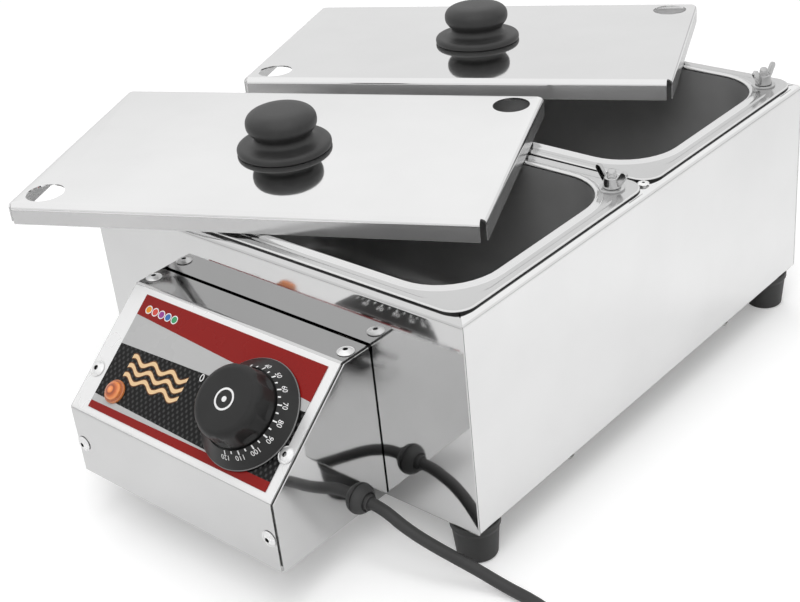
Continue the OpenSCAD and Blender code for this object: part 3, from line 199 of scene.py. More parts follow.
# Dark and light tone, roughness from and to, share of metal, scale of patch and grain, bump of patch or grain,
# then sheen and overlay where a finish has them
fineGrain = ("Grain", 0.1, 0.05)
finishes = {
    "mirrorSteel": ((0.83, 0.87), (0.035, 0.075)),
    # a darker copy of the mirror steel: painted shade on the front wall and the control box
    "frontSteel": ((0.64, 0.68), (0.035, 0.075)),
    "rimSteel": ((0.74, 0.80), (0.13, 0.20)),
    # a darker copy of the rim steel: painted shade on the pan's groove and flat flange
    "flangeSteel": ((0.58, 0.64), (0.14, 0.22)),
    # rougher than the front steel, and paler as a painted highlight on the slope
    "slopeSteel": ((0.84, 0.88), (0.24, 0.34), 0.5),
    "satinFlange": ((0.57, 0.63), (0.16, 0.26), 0.72),
    # satin steel inside the pans, rougher for real, its tone darkened as painted shade
    "satinPan": ((0.50, 0.58), (0.30, 0.40), 0.62, (22, 2600), ("Grain", 0.06, 0.05)),
    # near black: painted shade on the pan's skirt under the flange and in the rivets' bores
    "cutEdge": ((0.02, 0.05), (0.4, 0.6), 1, (60, 1500), fineGrain),
    "zincPlate": (((0.34, 0.34, 0.33), (0.50, 0.50, 0.48)), (0.16, 0.30), 1, (60, 2500), fineGrain),
    "brightZinc": ((0.48, 0.66), (0.10, 0.18), 1, (90, 2500), fineGrain),
    "rivetAlloy": ((0.86, 0.93), (0.26, 0.36), 0.7, (180, 3000), ("Grain", 0.1, 0.04)),
    "blackMoulding": ((0.020, 0.034), (0.40, 0.50), 0, (60, 1700), ("Grain", 0.25, 0.08)),
    "dialMoulding": ((0.011, 0.017), (0.32, 0.42), 0, (50, 2600), ("Grain", 0.12, 0.05), 0.34),
    # paler rim of the dial's skirt: a painted highlight
    "dialRim": ((0.16, 0.20), (0.2, 0.3), 0, (50, 2600), ("Grain", 0.05, 0.05)),
    "paleCeramic": (((0.70, 0.67, 0.58), (0.80, 0.77, 0.68)), (0.5, 0.65), 0, (90, 1800), ("Grain", 0.2, 0.08)),
    "turnedBrass": (((0.60, 0.42, 0.15), (0.72, 0.54, 0.24)), (0.2, 0.34), 1, (120, 2500), fineGrain),
    "heatDarkened": (((0.10, 0.095, 0.09), (0.22, 0.19, 0.16)), (0.4, 0.6), 1, (45, 1500), ("Grain", 0.15, 0.06)),
    "drawnCopper": (((0.58, 0.27, 0.13), (0.74, 0.40, 0.22)), (0.22, 0.38), 1, (80, 2000), fineGrain),
    "whiteSleeve": (((0.72, 0.72, 0.68), (0.80, 0.80, 0.77)), (0.45, 0.6), 0, (70, 1500), fineGrain),
    "brownSleeve": (((0.10, 0.045, 0.02), (0.15, 0.07, 0.035)), (0.4, 0.55), 0, (70, 1500), fineGrain),
    "earthSleeve": (((0.05, 0.22, 0.03),) * 2, (0.42, 0.58), 0, (60, 1500), None, 0.5, earthStripe),
    "mattRubber": ((0.026, 0.040), (0.44, 0.58), 0, (40, 1400), ("Grain", 0.2, 0.1)),
    "brightPin": ((0.72, 0.80), (0.12, 0.22), 1, (150, 2500), ("Grain", 0.05, 0.03)),
    "whiteInk": ((0.78, 0.86), (0.4, 0.5), 0, (200, 3000), ("Grain", 0.05, 0.02)),
}
finish = {name: plainFinish(name, *values) for name, values in finishes.items()}


# Woven strap, ribs across its length
def strapFinish():
    material, tree, shader = startMaterial("strapWeave")
    weave = addWave(tree, "Y", 320)
    feed(tree, shader, {"Base Color": mixColour(tree, weave, 0.02, 0.06), "Roughness": 0.8,
                        "Normal": bumpFrom(tree, weave, 0.4, 0.2)})
    return material


# Clear amber moulding, with painted highlights and shade in rings by the distance from the middle
lensPaintedRings = ((0.0, (0.80, 0.30, 0.10)), (0.16, (0.62, 0.17, 0.04)), (0.24, (0.20, 0.035, 0.006)),
             (0.36, (0.42, 0.09, 0.015)), (0.50, (0.70, 0.24, 0.07)), (0.56, (0.24, 0.05, 0.01)),
             (0.70, (0.50, 0.17, 0.05)))


def amberFinish():
    material, tree, shader = startMaterial("amberLens")
    ramp = tree.nodes.new("ShaderNodeValToRGB")
    stops = ramp.color_ramp.elements
    while len(stops) < len(lensPaintedRings):
        stops.new(0.5)
    for stop, (at, tone) in zip(stops, lensPaintedRings):
        stop.position = at
        stop.color = (*tone, 1)
    feed(tree, ramp.inputs, {"Fac": platePlace(tree)["X"]})
    colour = ramp.outputs["Color"]
    # a faint painted glow in the lens's own colour
    feed(tree, shader, {"Base Color": colour, "Emission Color": colour, "Emission Strength": 0.3, "Roughness": 0.10,
                        "Coat Weight": 0.6, "Coat Roughness": 0.04})
    return material


finish["strapWeave"] = strapFinish()
finish["amberLens"] = amberFinish()
print("finishes made:", len(finish))


# Shapes

def meshOf(obj):
    bpy.context.view_layer.update()
    return bpy.data.meshes.new_from_object(obj.evaluated_get(bpy.context.evaluated_depsgraph_get()))


# Modifiers become plain mesh
def settle(obj):
    mesh, old = meshOf(obj), obj.data
    obj.modifiers.clear()
    obj.data = mesh
    bpy.data.meshes.remove(old)
    mesh.name = obj.name
    return obj


def markSharp(mesh, angle, clean=True):
    bm = bmesh.new()
    bm.from_mesh(mesh)
    if clean:
        bmesh.ops.remove_doubles(bm, verts=bm.verts, dist=1e-6)
        bmesh.ops.recalc_face_normals(bm, faces=bm.faces)
    for face in bm.faces:
        face.smooth = True
    for edge in bm.edges:
        edge.smooth = not (len(edge.link_faces) == 2 and edge.calc_face_angle(0) > radians(angle))
    bm.to_mesh(mesh)
    bm.free()


def evenNormals(obj):
    even = obj.modifiers.new("even", "WEIGHTED_NORMAL")
    even.keep_sharp = True
    even.weight = 100
    return settle(obj)


def addShape(name, verts, faces, looks, place=Matrix(), angle=35, bevel=0, uv=None, faceLooks=None):
    mesh = bpy.data.meshes.new(name)
    mesh.from_pydata([(place @ Vector(v)) * milli for v in verts], [], faces)
    for look in [looks] if isinstance(looks, str) else looks:
        mesh.materials.append(finish[look])
    if faceLooks:
        for poly, index in zip(mesh.polygons, faceLooks):
            poly.material_index = index
    if uv:
        layer = mesh.uv_layers.new(name="plateMap")
        for loop in mesh.loops:
            layer.data[loop.index].uv = uv[loop.vertex_index]
    markSharp(mesh, angle)
    obj = addObject(name, mesh)
    if bevel:
        edge = obj.modifiers.new("edge", "BEVEL")
        edge.width = bevel * milli
        edge.segments = 3
        edge.limit_method = "ANGLE"
        edge.angle_limit = radians(40)
        edge.harden_normals = False
    return evenNormals(obj)


def finishPiece(obj, body, slotName, *nodes):
    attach(obj, body)
    if nodes:
        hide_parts(*nodes)
    return obj


def addPiece(name, shape, looks, slotName, *nodes, body="casing", **options):
    return finishPiece(addShape(name, *shape, looks, **options), body, slotName, *nodes)


# Corner points of a flat path, rounded; gives points with the left-hand normal
def bendPath(points, radii, steps=6):
    pts, path = [Vector(p).to_2d() for p in points], []
    for i, p in enumerate(pts):
        back = (p - pts[i - 1]).normalized() if i else None
        ahead = (pts[i + 1] - p).normalized() if i + 1 < len(pts) else None
        radius = radii[i]
        if back is None or ahead is None or radius <= 0:
            path += [(p, Vector((-way.y, way.x))) for way in (back, ahead) if way is not None]
            continue
        bend = atan2(back.cross(ahead), back.dot(ahead))
        side = 1 if bend > 0 else -1
        reach = radius * tan(abs(bend) / 2)
        normal = Vector((-back.y, back.x))
        centre = p - back * reach + normal * radius * side
        for k in range(steps + 1):
            turned = Matrix.Rotation(bend * k / steps, 2) @ normal
            path.append((centre - turned * radius * side, turned))
    return path


def rounded(points, radii, steps=5):
    return [tuple(p) for p, n in bendPath(points, radii, steps)]


# Points on an arc round a middle, angles in degrees
def arc(x, y, across, up, start, end, steps):
    turns = [radians(start + (end - start) * k / steps) for k in range(steps + 1)]
    return [(x + across * cos(a), y + up * sin(a)) for a in turns]


# Evenly spaced points from one to another, without the first
def between(first, last, steps):
    return [tuple(a + (b - a) * k / steps for a, b in zip(first, last)) for k in range(1, steps + 1)]


# Smooth line through points, with steps between each two
def smoothLine(points, steps=4):
    pts, line = [Vector(p) for p in points], []
    for i in range(len(pts) - 1):
        a, b, c, d = (pts[max(0, min(len(pts) - 1, i + k))] for k in (-1, 0, 1, 2))
        for k in range(steps):
            t = k / steps
            line.append(0.5 * (2 * b + (c - a) * t + (2 * a - 5 * b + 4 * c - d) * t ** 2
                               + (3 * b - a - 3 * c + d) * t ** 3))
    return line + [pts[-1]]


# Skin over rings of points; a ring of one point closes an end
def skin(rings, closed=False):
    verts, spans, faces = [], [], []
    for ring in rings:
        spans.append(range(len(verts), len(verts) + len(ring)))
        verts += ring
    count = max(len(ring) for ring in rings)
    for a, b in zip(spans, spans[1:] + (spans[:1] if closed else [])):
        for k in range(count):
            n = (k + 1) % count
            corners = (a[k % len(a)], a[n % len(a)], b[n % len(b)], b[k % len(b)])
            faces.append(tuple(dict.fromkeys(corners)))
    return verts, faces


# Shape of revolution from a profile of (radius, height)
def lathe(profile, steps=48, closed=False):
    turns = [2 * pi * k / steps for k in range(steps)]
    return skin([[(r * cos(a), r * sin(a), h) for a in (turns if r > 1e-6 else turns[:1])]
                 for r, h in profile], closed)


# Solid between two outlines of as many points
def prism(first, second):
    count = len(first)
    faces = [tuple(range(count)), tuple(range(2 * count - 1, count - 1, -1))]
    faces += [(k, count + k, count + (k + 1) % count, (k + 1) % count) for k in range(count)]
    return [*first, *second], faces


# Folded sheet: a bent path with a thickness, swept along a run; ends(point) gives the run's two ends
def foldedSheet(path, thickness, ends, place):
    verts, faces, count = [], [], len(path)
    for side in (0, 1):
        for depth in (0, thickness):
            verts += [place(ends(q)[side], q.x, q.y) for q in (p - n * depth for p, n in path)]
    oa, ia, ob, ib = 0, count, 2 * count, 3 * count
    for k in range(count - 1):
        faces += [(oa + k, oa + k + 1, ob + k + 1, ob + k), (ia + k + 1, ia + k, ib + k, ib + k + 1),
                  (oa + k + 1, oa + k, ia + k, ia + k + 1), (ob + k, ob + k + 1, ib + k + 1, ib + k)]
    last = count - 1
    faces += [(oa, ob, ib, ia), (ob + last, oa + last, ia + last, ib + last)]
    return verts, faces


def joined(parts):
    verts, faces = [], []
    for v, f in parts:
        faces += [tuple(i + len(verts) for i in face) for face in f]
        verts += v
    return verts, faces


# Cord: comes out of its gland, lies on the table, and the rest is coiled out of view
cordSizes = {
    "diameter": 6.5, "tip": (82, -186.5), "glandZ": 35.5, "layZ": 3.6,
    "drop": [(0, 0, 0), (2, 0, 0), (7, 0, 0.5), (13, 0, 2.1), (21, 0.2, 5.3), (30, 1.8, 9.6), (39.5, 4.8, 14.6),
             (49, 8.3, 19.6), (59, 11.8, 24.7), (68, 14.2, 28.8)],
    "lie": [(76.5, 15.5, 0.7), (85.5, 15.7, 0), (95.5, 14.5, 0), (106, 12, 0), (117, 8.9, 0.1), (128, 6, 0.3),
            (138, 4.2, 0.6), (145, 3.6, 0.75), (148.5, 3.5, 0.8), (151.5, 3.5, 0.8)],
    "coilMiddle": (240, -231.9), "coilTurns": 5.5, "innerRadius": 29.1, "pitch": 7.2, "layer": 7.0, "coilZ": 4.4,
    "stepsPerTurn": 48,
}


def cordPoints(diameter, tip, glandZ, layZ, drop, lie, coilMiddle, coilTurns, innerRadius, pitch, layer, coilZ,
               stepsPerTurn):
    route = [(tip[0] + x, tip[1] + y, glandZ - z) for x, y, z in drop]
    route += [(tip[0] + x, tip[1] + y, layZ + z) for x, y, z in lie]
    points = smoothLine(route)
    half = coilTurns / 2
    for k in range(int(coilTurns * stepsPerTurn) + 1):  # a spiral inwards, a step up, and outwards again
        t = k / stepsPerTurn
        away = abs(t - half)
        radius = innerRadius + pitch * (away if away > 0.25 else 2 * away * away + 0.125)
        rise = max(0, min(1, 2 * (t - half) + 0.5))
        angle = 2 * pi * t
        points.append(Vector((coilMiddle[0] + radius * sin(angle), coilMiddle[1] + radius * cos(angle),
                              coilZ + layer * rise * rise * (3 - 2 * rise))))
    points.append(points[-1] + Vector((-diameter, 0, 0)))
    return points


def addCord(s):
    points = cordPoints(**s)
    curve = bpy.data.curves.new("powerCord", "CURVE")
    curve.dimensions = "3D"
    curve.bevel_depth = s["diameter"] / 2 * milli
    curve.bevel_resolution = 5
    curve.use_fill_caps = True
    line = curve.splines.new("POLY")
    line.points.add(len(points) - 1)
    for spot, p in zip(line.points, points):
        spot.co = (*(p * milli), 1)
    curve.materials.append(finish["mattRubber"])
    cord = finishPiece(addObject("powerCord", curve), "casing", "rubber", "power_cord", "cord_coil")
    return cord, sum((b - a).length for a, b in zip(points, points[1:])) * milli, points[-1]


cord, cordLength, plugStart = addCord(cordSizes)

# Plug on the coil, with ribbed grip and two round pins
plugSizes = {
    "foot": [(0, 0), (3.6, 0), (3.85, 0.4)], "neck": 16, "neckR": 3.85, "neckGrows": 1.5,
    "rings": 6, "ringFrom": 1.5, "ringPitch": 2.4, "ring": [(0, 0), (-0.5, 0.5), (-0.5, 1.2), (0.1, 1.7)],
    "shoulder": [(5.45, 16), (8.6, 19.6), (9.8, 21), (10.5, 23.2), (10.8, 25)],
    "radius": 10.8, "ribs": 4, "ribFrom": 26.4, "ribPitch": 2.6, "rib": [(0, 0), (-0.5, 0.5), (-0.5, 1.3), (0, 1.8)],
    "face": [(10.8, 38), (10.2, 39.4), (8.8, 40), (0, 40)],
    "pinFrom": 40, "pinTo": 59, "pinR": 2, "pinRound": 1.2, "pinSpread": 6,
}


def addPlug(start, s):
    along = Matrix.Translation(start) @ Matrix.Rotation(radians(-90), 4, "Y")
    profile = list(s["foot"])
    for k in range(s["rings"]):  # strain relief
        h = s["ringFrom"] + k * s["ringPitch"]
        base = s["neckR"] + s["neckGrows"] * h / s["neck"]
        profile += [(base + out, h + up) for out, up in s["ring"]]
    profile += s["shoulder"]
    for k in range(s["ribs"]):  # grip
        h = s["ribFrom"] + k * s["ribPitch"]
        profile += [(s["radius"] + out, h + up) for out, up in s["rib"]]
    profile += s["face"]
    plug = addPiece("plugBody", lathe(profile, 40), "mattRubber", "rubber", "plug", place=along, angle=50)
    pin = [(0, s["pinFrom"]), (s["pinR"], s["pinFrom"]), (s["pinR"], s["pinTo"]), (0, s["pinTo"])]
    pin, faces = lathe(rounded(pin, [0, 0, s["pinRound"], 0]), 20)
    parts = []
    for side in (-1, 1):
        shift = Matrix.Translation((0, side * s["pinSpread"], 0))
        parts.append(([shift @ Vector(v) for v in pin], faces))
    return plug, addPiece("plugPins", joined(parts), "brightPin", "pin_metal", "plug_pins", place=along)


# Strap round the coil's turns
tieSizes = {"low": (268.85, 0.15), "high": (290.95, 15.75), "y": -231.9, "width": 8, "thickness": 0.8, "corner": 2.6}


def addTie(low, high, y, width, thickness, corner):
    (x0, z0), (x1, z1) = low, high
    mid = (x0 + x1) / 2
    corners = [(mid, z0), (x1, z0), (x1, z1), (x0, z1), (x0, z0), (mid, z0)]
    outline = bendPath(corners, [0] + [corner] * 4 + [0], 5)[:-1]
    rings = [[(p.x + n.x * inset, y + side * width / 2, p.y + n.y * inset) for p, n in outline]
             for side, inset in ((-1, 0), (-1, thickness), (1, thickness), (1, 0))]
    return addPiece("coilStrap", skin(rings, closed=True), "strapWeave", "tie_strap", "coil_tie")


plug, pins = addPlug(plugStart, plugSizes)
tie = addTie(**tieSizes)
print("cord laid, metres:", round(cordLength, 3))

# Casing: four folded walls with lips turned in at the top and at the bottom
casingSizes = {"width": 271, "depth": 332, "low": 24, "high": 149.4, "sheet": 1, "bend": 4, "lowBend": 1.6,
               "topLip": 12, "bottomLip": 8, "seam": 0.3}


def addWalls(width, depth, low, high, sheet, bend, lowBend, topLip, bottomLip, seam):
    path = bendPath([(bottomLip, low), (0, low), (0, high), (topLip, high)], [0, lowBend, bend, 0])
    halfWidth, halfDepth = width / 2, depth / 2

    def longEnds(p):
        cut = max(0, p.x - sheet)
        return -halfWidth + cut, halfWidth - cut

    def sideEnds(p):
        cut = sheet + seam + max(0, p.x - sheet - seam)
        return -halfDepth + cut, halfDepth - cut

    walls = {
        # the front wall takes the darker copy of the steel, as painted shade
        "front": ("frontSteel", longEnds, lambda run, u, z: (run, -halfDepth + u, z)),
        "rear": ("mirrorSteel", longEnds, lambda run, u, z: (-run, halfDepth - u, z)),
        "left": ("mirrorSteel", sideEnds, lambda run, u, z: (-halfWidth + u, -run, z)),
        "right": ("mirrorSteel", sideEnds, lambda run, u, z: (halfWidth - u, run, z)),
    }
    for side, (look, ends, place) in walls.items():
        addPiece(side + "Wall", foldedSheet(path, sheet, ends, place), look, "steel", side + "_wall")


addWalls(**casingSizes)
print("walls folded")

# Pans: drawn tub with a rolled bead, a flat flange and a pressed groove; the flange's edge as inset, drop and look
panSizes = {
    "openL": 241, "openW": 138, "openR": 31.5, "flangeL": 265, "flangeW": 162, "flangeR": 12, "top": 151.3,
    "floor": 51.3, "fillet": 12, "sheet": 0.8, "wallRings": (90, 120), "underRoll": 0.4, "rollR": 1.5,
    "rollTop": 1.3, "rollW": 3.4, "grooveX": 127.15, "grooveY": 75.65, "grooveR": 24, "grooveDepth": 0.5,
    "grooveW": 1.5, "skirt": 1.9,
    "edge": [(0.9, 0, 3), (0.45, 0.08, 0), (0.12, 0.3, 0), (0, 0.6, 0)],
}
panPlaces = {"front": -82, "rear": 82}
# the third look paints the flange's skirt near black as shade
panLooks = ["rimSteel", "satinPan", "cutEdge", "flangeSteel"]


# Rounded rectangle; each point has 0 in the bend of a corner and 1 elsewhere
def ringPoints(length, width, radius, cornerSteps=10, sideSteps=6):
    arcs, points = [], []
    for n, (sx, sy) in enumerate(((1, 1), (-1, 1), (-1, -1), (1, -1))):
        x, y = sx * (length / 2 - radius), sy * (width / 2 - radius)
        arcs.append(arc(x, y, radius, radius, 90 * n, 90 * n + 90, cornerSteps))
    for corner, following in zip(arcs, arcs[1:] + arcs[:1]):
        points += [(*p, 0 if 0 < k < cornerSteps else 1) for k, p in enumerate(corner)]
        points += [(*p, 1) for p in between(corner[-1], following[0], sideSteps)[:-1]]
    return points


def addPan(side, y, openL, openW, openR, flangeL, flangeW, flangeR, top, floor, fillet, sheet, wallRings, underRoll,
           rollR, rollTop, rollW, grooveX, grooveY, grooveR, grooveDepth, grooveW, skirt, edge):
    rings = []  # points, and the look of the faces before the ring

    def addRing(length, width, radius, z, look=0, groove=0):
        rings.append(([(px, py, z - groove * k) for px, py, k in ringPoints(length, width, radius)], look))

    def openRing(d, z, look=0):
        addRing(openL + 2 * d, openW + 2 * d, openR + d, z, look)

    rollZ = top + rollTop - rollR
    rings.append(([(0, 0, floor)], 1))
    for d, z in arc(-fillet, floor + fillet, fillet, fillet, -90, 0, 8):  # inside, floor to wall
        openRing(d, z, 1)
    for z in (*wallRings, rollZ - underRoll):
        openRing(0, z, 1)
    for d, z in arc(rollR, rollZ, rollR, rollR, 180, 90, 6):  # roll round the opening, steep inside
        openRing(d, z)
    for t in (k / 6 for k in range(1, 7)):  # and falling gently to the flange outside
        openRing(rollR + rollW * t, top + rollTop * (1 - t * t * (3 - 2 * t)))
    # the groove and flat flange take the darker steel, as painted shade
    for k in range(-4, 5):  # groove, left out in the bends of the corners
        shift, depth = grooveW * k / 4, 0.5 + 0.5 * cos(pi * k / 4)
        addRing(2 * (grooveX + shift), 2 * (grooveY + shift), grooveR + shift, top, 3, depth * grooveDepth)
    # the skirt below the flange's edge is painted near black as shade
    for inset, drop, look in (*edge, (0, skirt, 2), (sheet, skirt, 0), (sheet, sheet, 0)):
        addRing(flangeL - 2 * inset, flangeW - 2 * inset, flangeR - inset, top - drop, look)
    openRing(sheet, top - sheet)
    outer = fillet + sheet
    for d, z in arc(-fillet, floor + fillet, outer, outer, 0, -90, 8):  # outside, wall to floor
        openRing(d, z)
    rings.append(([(0, 0, floor - sheet)], 0))
    looks = [look for points, look in rings[1:] for k in rings[1][0]]
    addPiece(side + "Pan", skin([points for points, look in rings]), panLooks, "pan_steel", side + "_pan",
             place=Matrix.Translation((0, y, 0)), faceLooks=looks)


for side, y in panPlaces.items():
    addPan(side, y, **panSizes)
print("pans drawn")

# Lids: flat top with two clearance holes, flanges folded down, open notches at the corners
lidSizes = {"length": 271, "width": 166, "sheet": 0.8, "flange": 12, "bend": 3.2, "notch": 3.3, "hole": 11,
            "holeX": 118.5, "holeY": 67}
lidPlaces = {"front": ((-57, -85, 164.9), (0, 0, 25.6)),
             "rear": ((-68.3073, 108.245, 163.709), (-3.26902, -0.2, 25.7))}
knobSizes = {
    "foot": [(0, 0.05), (26.7, 0.05), (27.2, 0.4)], "top": (0, 24),
    "curve": [(27.4, 1.1), (27.3, 2.6), (26.4, 3.8), (24.4, 4.4), (20.6, 4.7), (17.9, 5.6), (16.7, 7.6), (17.0, 9.6),
              (18.8, 11.6), (20.2, 13.8), (20.6, 16.4), (20.1, 19.2), (18.2, 21.6), (14.8, 23.2), (9.6, 23.85)],
}


def addLid(side, place, length, width, sheet, flange, bend, notch, hole, holeX, holeY):
    halfL, halfW = length / 2, width / 2
    inL, inW = halfL - bend, halfW - bend
    outline = []
    for sx, sy, way in ((1, -1, 1), (1, 1, -1), (-1, 1, 1), (-1, -1, -1)):
        corner = [(sx * (halfL - notch), sy * inW), (sx * inL, sy * inW), (sx * inL, sy * (halfW - notch))]
        outline += corner[::way]
    holes = [arc(sign * holeX, sign * holeY, hole, hole, 0, 360, 48)[:-1] for sign in (-1, 1)]
    bm, edges = bmesh.new(), []
    for loop in (outline, *holes):
        verts = [bm.verts.new((x, y, 0)) for x, y in loop]
        edges += [bm.edges.new(pair) for pair in zip(verts, verts[1:] + verts[:1])]
    bmesh.ops.triangle_fill(bm, use_beauty=True, use_dissolve=False, edges=edges)
    for face in bm.faces:
        if face.normal.z < 0:
            face.normal_flip()
    fold = arc(0, -bend, bend, bend, 90, 0, 6) + [(bend, -flange)]
    for sign, alongLength in ((-1, True), (1, False), (1, True), (-1, False)):
        half = (halfL if alongLength else halfW) - notch
        edge = inW if alongLength else inL
        rows = []
        for out, z in fold:
            across = sign * (edge + out)
            ends = [(end, across, z) if alongLength else (across, end, z) for end in (-half, half)]
            rows.append([bm.verts.new(p) for p in ends])
        for n, (a, b) in enumerate(zip(rows, rows[1:])):
            face = bm.faces.new((a[0], a[1], b[1], b[0]))
            face.normal_update()
            face.material_index = 1 if n == len(fold) - 2 else 0  # the flat flange below the bend
            if face.normal.dot(Vector((0, sign, 0.3) if alongLength else (sign, 0, 0.3))) < 0:
                face.normal_flip()
    bmesh.ops.remove_doubles(bm, verts=bm.verts, dist=1e-4)
    for v in bm.verts:
        v.co = (place @ v.co) * milli
    mesh = bpy.data.meshes.new(side + "Lid")
    bm.to_mesh(mesh)
    bm.free()
    for look in ("mirrorSteel", "satinFlange"):
        mesh.materials.append(finish[look])
    lid = addObject(side + "Lid", mesh)
    wall = lid.modifiers.new("wall", "SOLIDIFY")
    wall.thickness = sheet * milli
    wall.offset = -1
    wall.use_even_offset = True
    settle(lid)
    markSharp(lid.data, 35, clean=False)
    finishPiece(evenNormals(lid), side + "_lid", "steel", side + "_lid")


def addKnob(side, place, foot, top, curve):
    profile = foot + [tuple(p.to_2d()) for p in smoothLine([(*p, 0) for p in curve], 3)] + [top]
    addPiece(side + "LidKnob", lathe(profile, 72), "blackMoulding", "black_moulding", side + "_lid_knob",
             body=side + "_lid", place=place, angle=60)


for side, (at, turn) in lidPlaces.items():
    place = Matrix.Translation(at) @ Euler([radians(a) for a in turn], "XYZ").to_matrix().to_4x4()
    addLid(side, place, **lidSizes)
    addKnob(side, place, **knobSizes)
print("lids and knobs made")


# Copies of one small piece at many spots, each turned the way its spot faces; a bore is painted near black as shade
def buildCopies():
    tree, ins, outs = startGroup("copiesAtSpots", "Geometry", {
        "Spots": "Geometry", "Piece": "Object", "Size": "Float", "Finish": "Material", "Bore Finish": "Material",
    }, {"Copies": "Geometry"})
    add = partial(addNode, tree)
    facing = add("GeometryNodeInputNamedAttribute", {"Name": "facing"}, data_type="FLOAT_VECTOR")["Attribute"]
    bore = add("GeometryNodeInputNamedAttribute", {"Name": "bore"}, data_type="BOOLEAN")["Attribute"]
    spread = add("GeometryNodeInstanceOnPoints", {
        "Points": ins["Spots"], "Instance": add("GeometryNodeObjectInfo", {"Object": ins["Piece"]})["Geometry"],
        "Rotation": add("FunctionNodeAlignRotationToVector", {"Vector": facing}, axis="Z")["Rotation"],
        "Scale": ins["Size"]})
    shape = add("GeometryNodeRealizeInstances", {"Geometry": spread["Instances"]})["Geometry"]
    shape = add("GeometryNodeSetMaterial", {"Geometry": shape, "Material": ins["Finish"]})["Geometry"]
    shape = add("GeometryNodeSetMaterial", {"Geometry": shape, "Selection": bore, "Material": ins["Bore Finish"]})
    feed(tree, outs, {"Copies": shape["Geometry"]})
    return tree


copiesTree = buildCopies()


def addTree(obj, tree, values):
    modifier = obj.modifiers.new(tree.name, "NODES")
    modifier.node_group = tree
    for item in tree.interface.items_tree:
        if item.item_type == "SOCKET" and item.in_out == "INPUT" and item.name in values:
            modifier[item.identifier] = values[item.name]
    return settle(obj)


def addCopies(name, shape, spots, look, slotName, node, angle=35, bore=0):
    pattern = addShape(name + "Pattern", *shape, look, angle=angle)
    if bore:  # faces nearer the axis than this are painted near black as shade
        inside = pattern.data.attributes.new("bore", "BOOLEAN", "FACE")
        for item, face in zip(inside.data, pattern.data.polygons):
            item.value = face.center.xy.length < bore * milli
    mesh = bpy.data.meshes.new(name)
    mesh.from_pydata([Vector(at) * milli for at, way in spots], [], [])
    ways = mesh.attributes.new("facing", "FLOAT_VECTOR", "POINT")
    for item, (at, way) in zip(ways.data, spots):
        item.vector = way
    obj = addTree(addObject(name, mesh), copiesTree, {
        "Piece": pattern, "Size": 1.0, "Finish": finish[look], "Bore Finish": finish["cutEdge" if bore else look]})
    if bore:
        obj.data.attributes.remove(obj.data.attributes["bore"])
    bpy.data.objects.remove(pattern)
    return finishPiece(obj, "casing", slotName, node)


# Control box: cover, rivets, and painted shade lines where cover, housing and wall meet
boxSizes = {
    "left": -83.5, "right": 74.5, "frontY": -245, "wallY": -166, "low": 26.5, "bendZ": 68.5, "topY": -185.5,
    "top": 118, "cover": 1, "coverInset": 1.5, "slit": 1.15, "bend": 3.2, "lowBend": 4.6, "bendDrop": 1.2,
    "rivetInset": 6.2, "slopeRivet": 25, "rivetTopShare": 0.42, "rivetFrontShare": 0.46, "line": 0.8,
    "lineFrom": 0.02, "lineLow": 30, "slitLow": 114, "slitFrom": 0.1, "topFrom": 0.05, "paintedTopShade": 0.50,
    "paintedShadeTone": 0.012,
}
coverRivet = {"head": 4.6, "dome": 2, "hole": 1.32, "depth": 5}
bridgeRivet = {"head": 3.2, "dome": 1.2, "hole": 0.88, "depth": 4}
bridgeRivetPlace = {"x": 128.5, "z": 150}
rivetEdge = [(0.1, 0.62), (0, 0.5), (0, 0.36), (0.9, 0.3), (1.0, 0.0)]  # inset from the head's rim, height
slopeAngle = atan2(boxSizes["top"] - boxSizes["bendZ"], boxSizes["topY"] - boxSizes["frontY"])


def onSlope(x, s, h=0):
    return (Matrix.Translation((x, boxSizes["frontY"], boxSizes["bendZ"])) @ Matrix.Rotation(slopeAngle, 4, "X")
            @ Matrix.Translation((0, s, h)))


# As the front steel, with painted shade: darker on the cover's flat top, and dark lines beside the cover, at the wall
# and under the slit
def boxPaint(tree, steel):
    s, calc = boxSizes, partial(addMath, tree)
    x, y, z = splitUp(tree, objectPlace(tree))

    def over(value, limit):
        return calc("GREATER_THAN", value, limit * milli)

    away = calc("ABSOLUTE", calc("SUBTRACT", x, (s["left"] + s["right"]) / 2 * milli))
    half = (s["right"] - s["left"]) / 2 - s["coverInset"]
    # painted shade: dark lines in the gaps beside the cover, at the wall and under the slit
    beside = calc("MULTIPLY", over(away, half + s["lineFrom"]), calc("LESS_THAN", away, (half + s["line"]) * milli))
    beside = calc("MULTIPLY", beside, over(z, s["lineLow"]))
    under = calc("MULTIPLY", over(y, s["wallY"] - s["slit"] - s["slitFrom"]), over(z, s["slitLow"]))
    dark = calc("MAXIMUM", calc("MAXIMUM", beside, over(y, s["wallY"] - s["line"])), under)
    # painted shade: the cover's flat top darker
    steel = mixColour(tree, over(z, s["top"] - s["topFrom"]), steel, s["paintedTopShade"])
    return mixColour(tree, dark, steel, s["paintedShadeTone"])


def addCover(s):
    path = bendPath([(s["frontY"], s["low"]), (s["frontY"], s["bendZ"]), (s["topY"], s["top"]),
                     (s["wallY"] - s["slit"], s["top"])], [0, s["lowBend"], s["bend"], 0], 5)
    ends = (s["left"] + s["coverInset"], s["right"] - s["coverInset"])
    looks = []
    for (p, n), (q, m) in zip(path, path[1:]):  # the slope between the two bends is the paler steel, a painted highlight, and rougher
        looks += [1 if s["bendZ"] < (p.y + q.y) / 2 < s["top"] - s["bendDrop"] else 0] * 4
    sheet = foldedSheet(path, s["cover"], lambda p: ends, lambda run, y, z: (run, y, z))
    addPiece("controlCover", sheet, ["boxSteel", "slopeSteel"], "steel", "control_cover", faceLooks=looks + [0, 0])


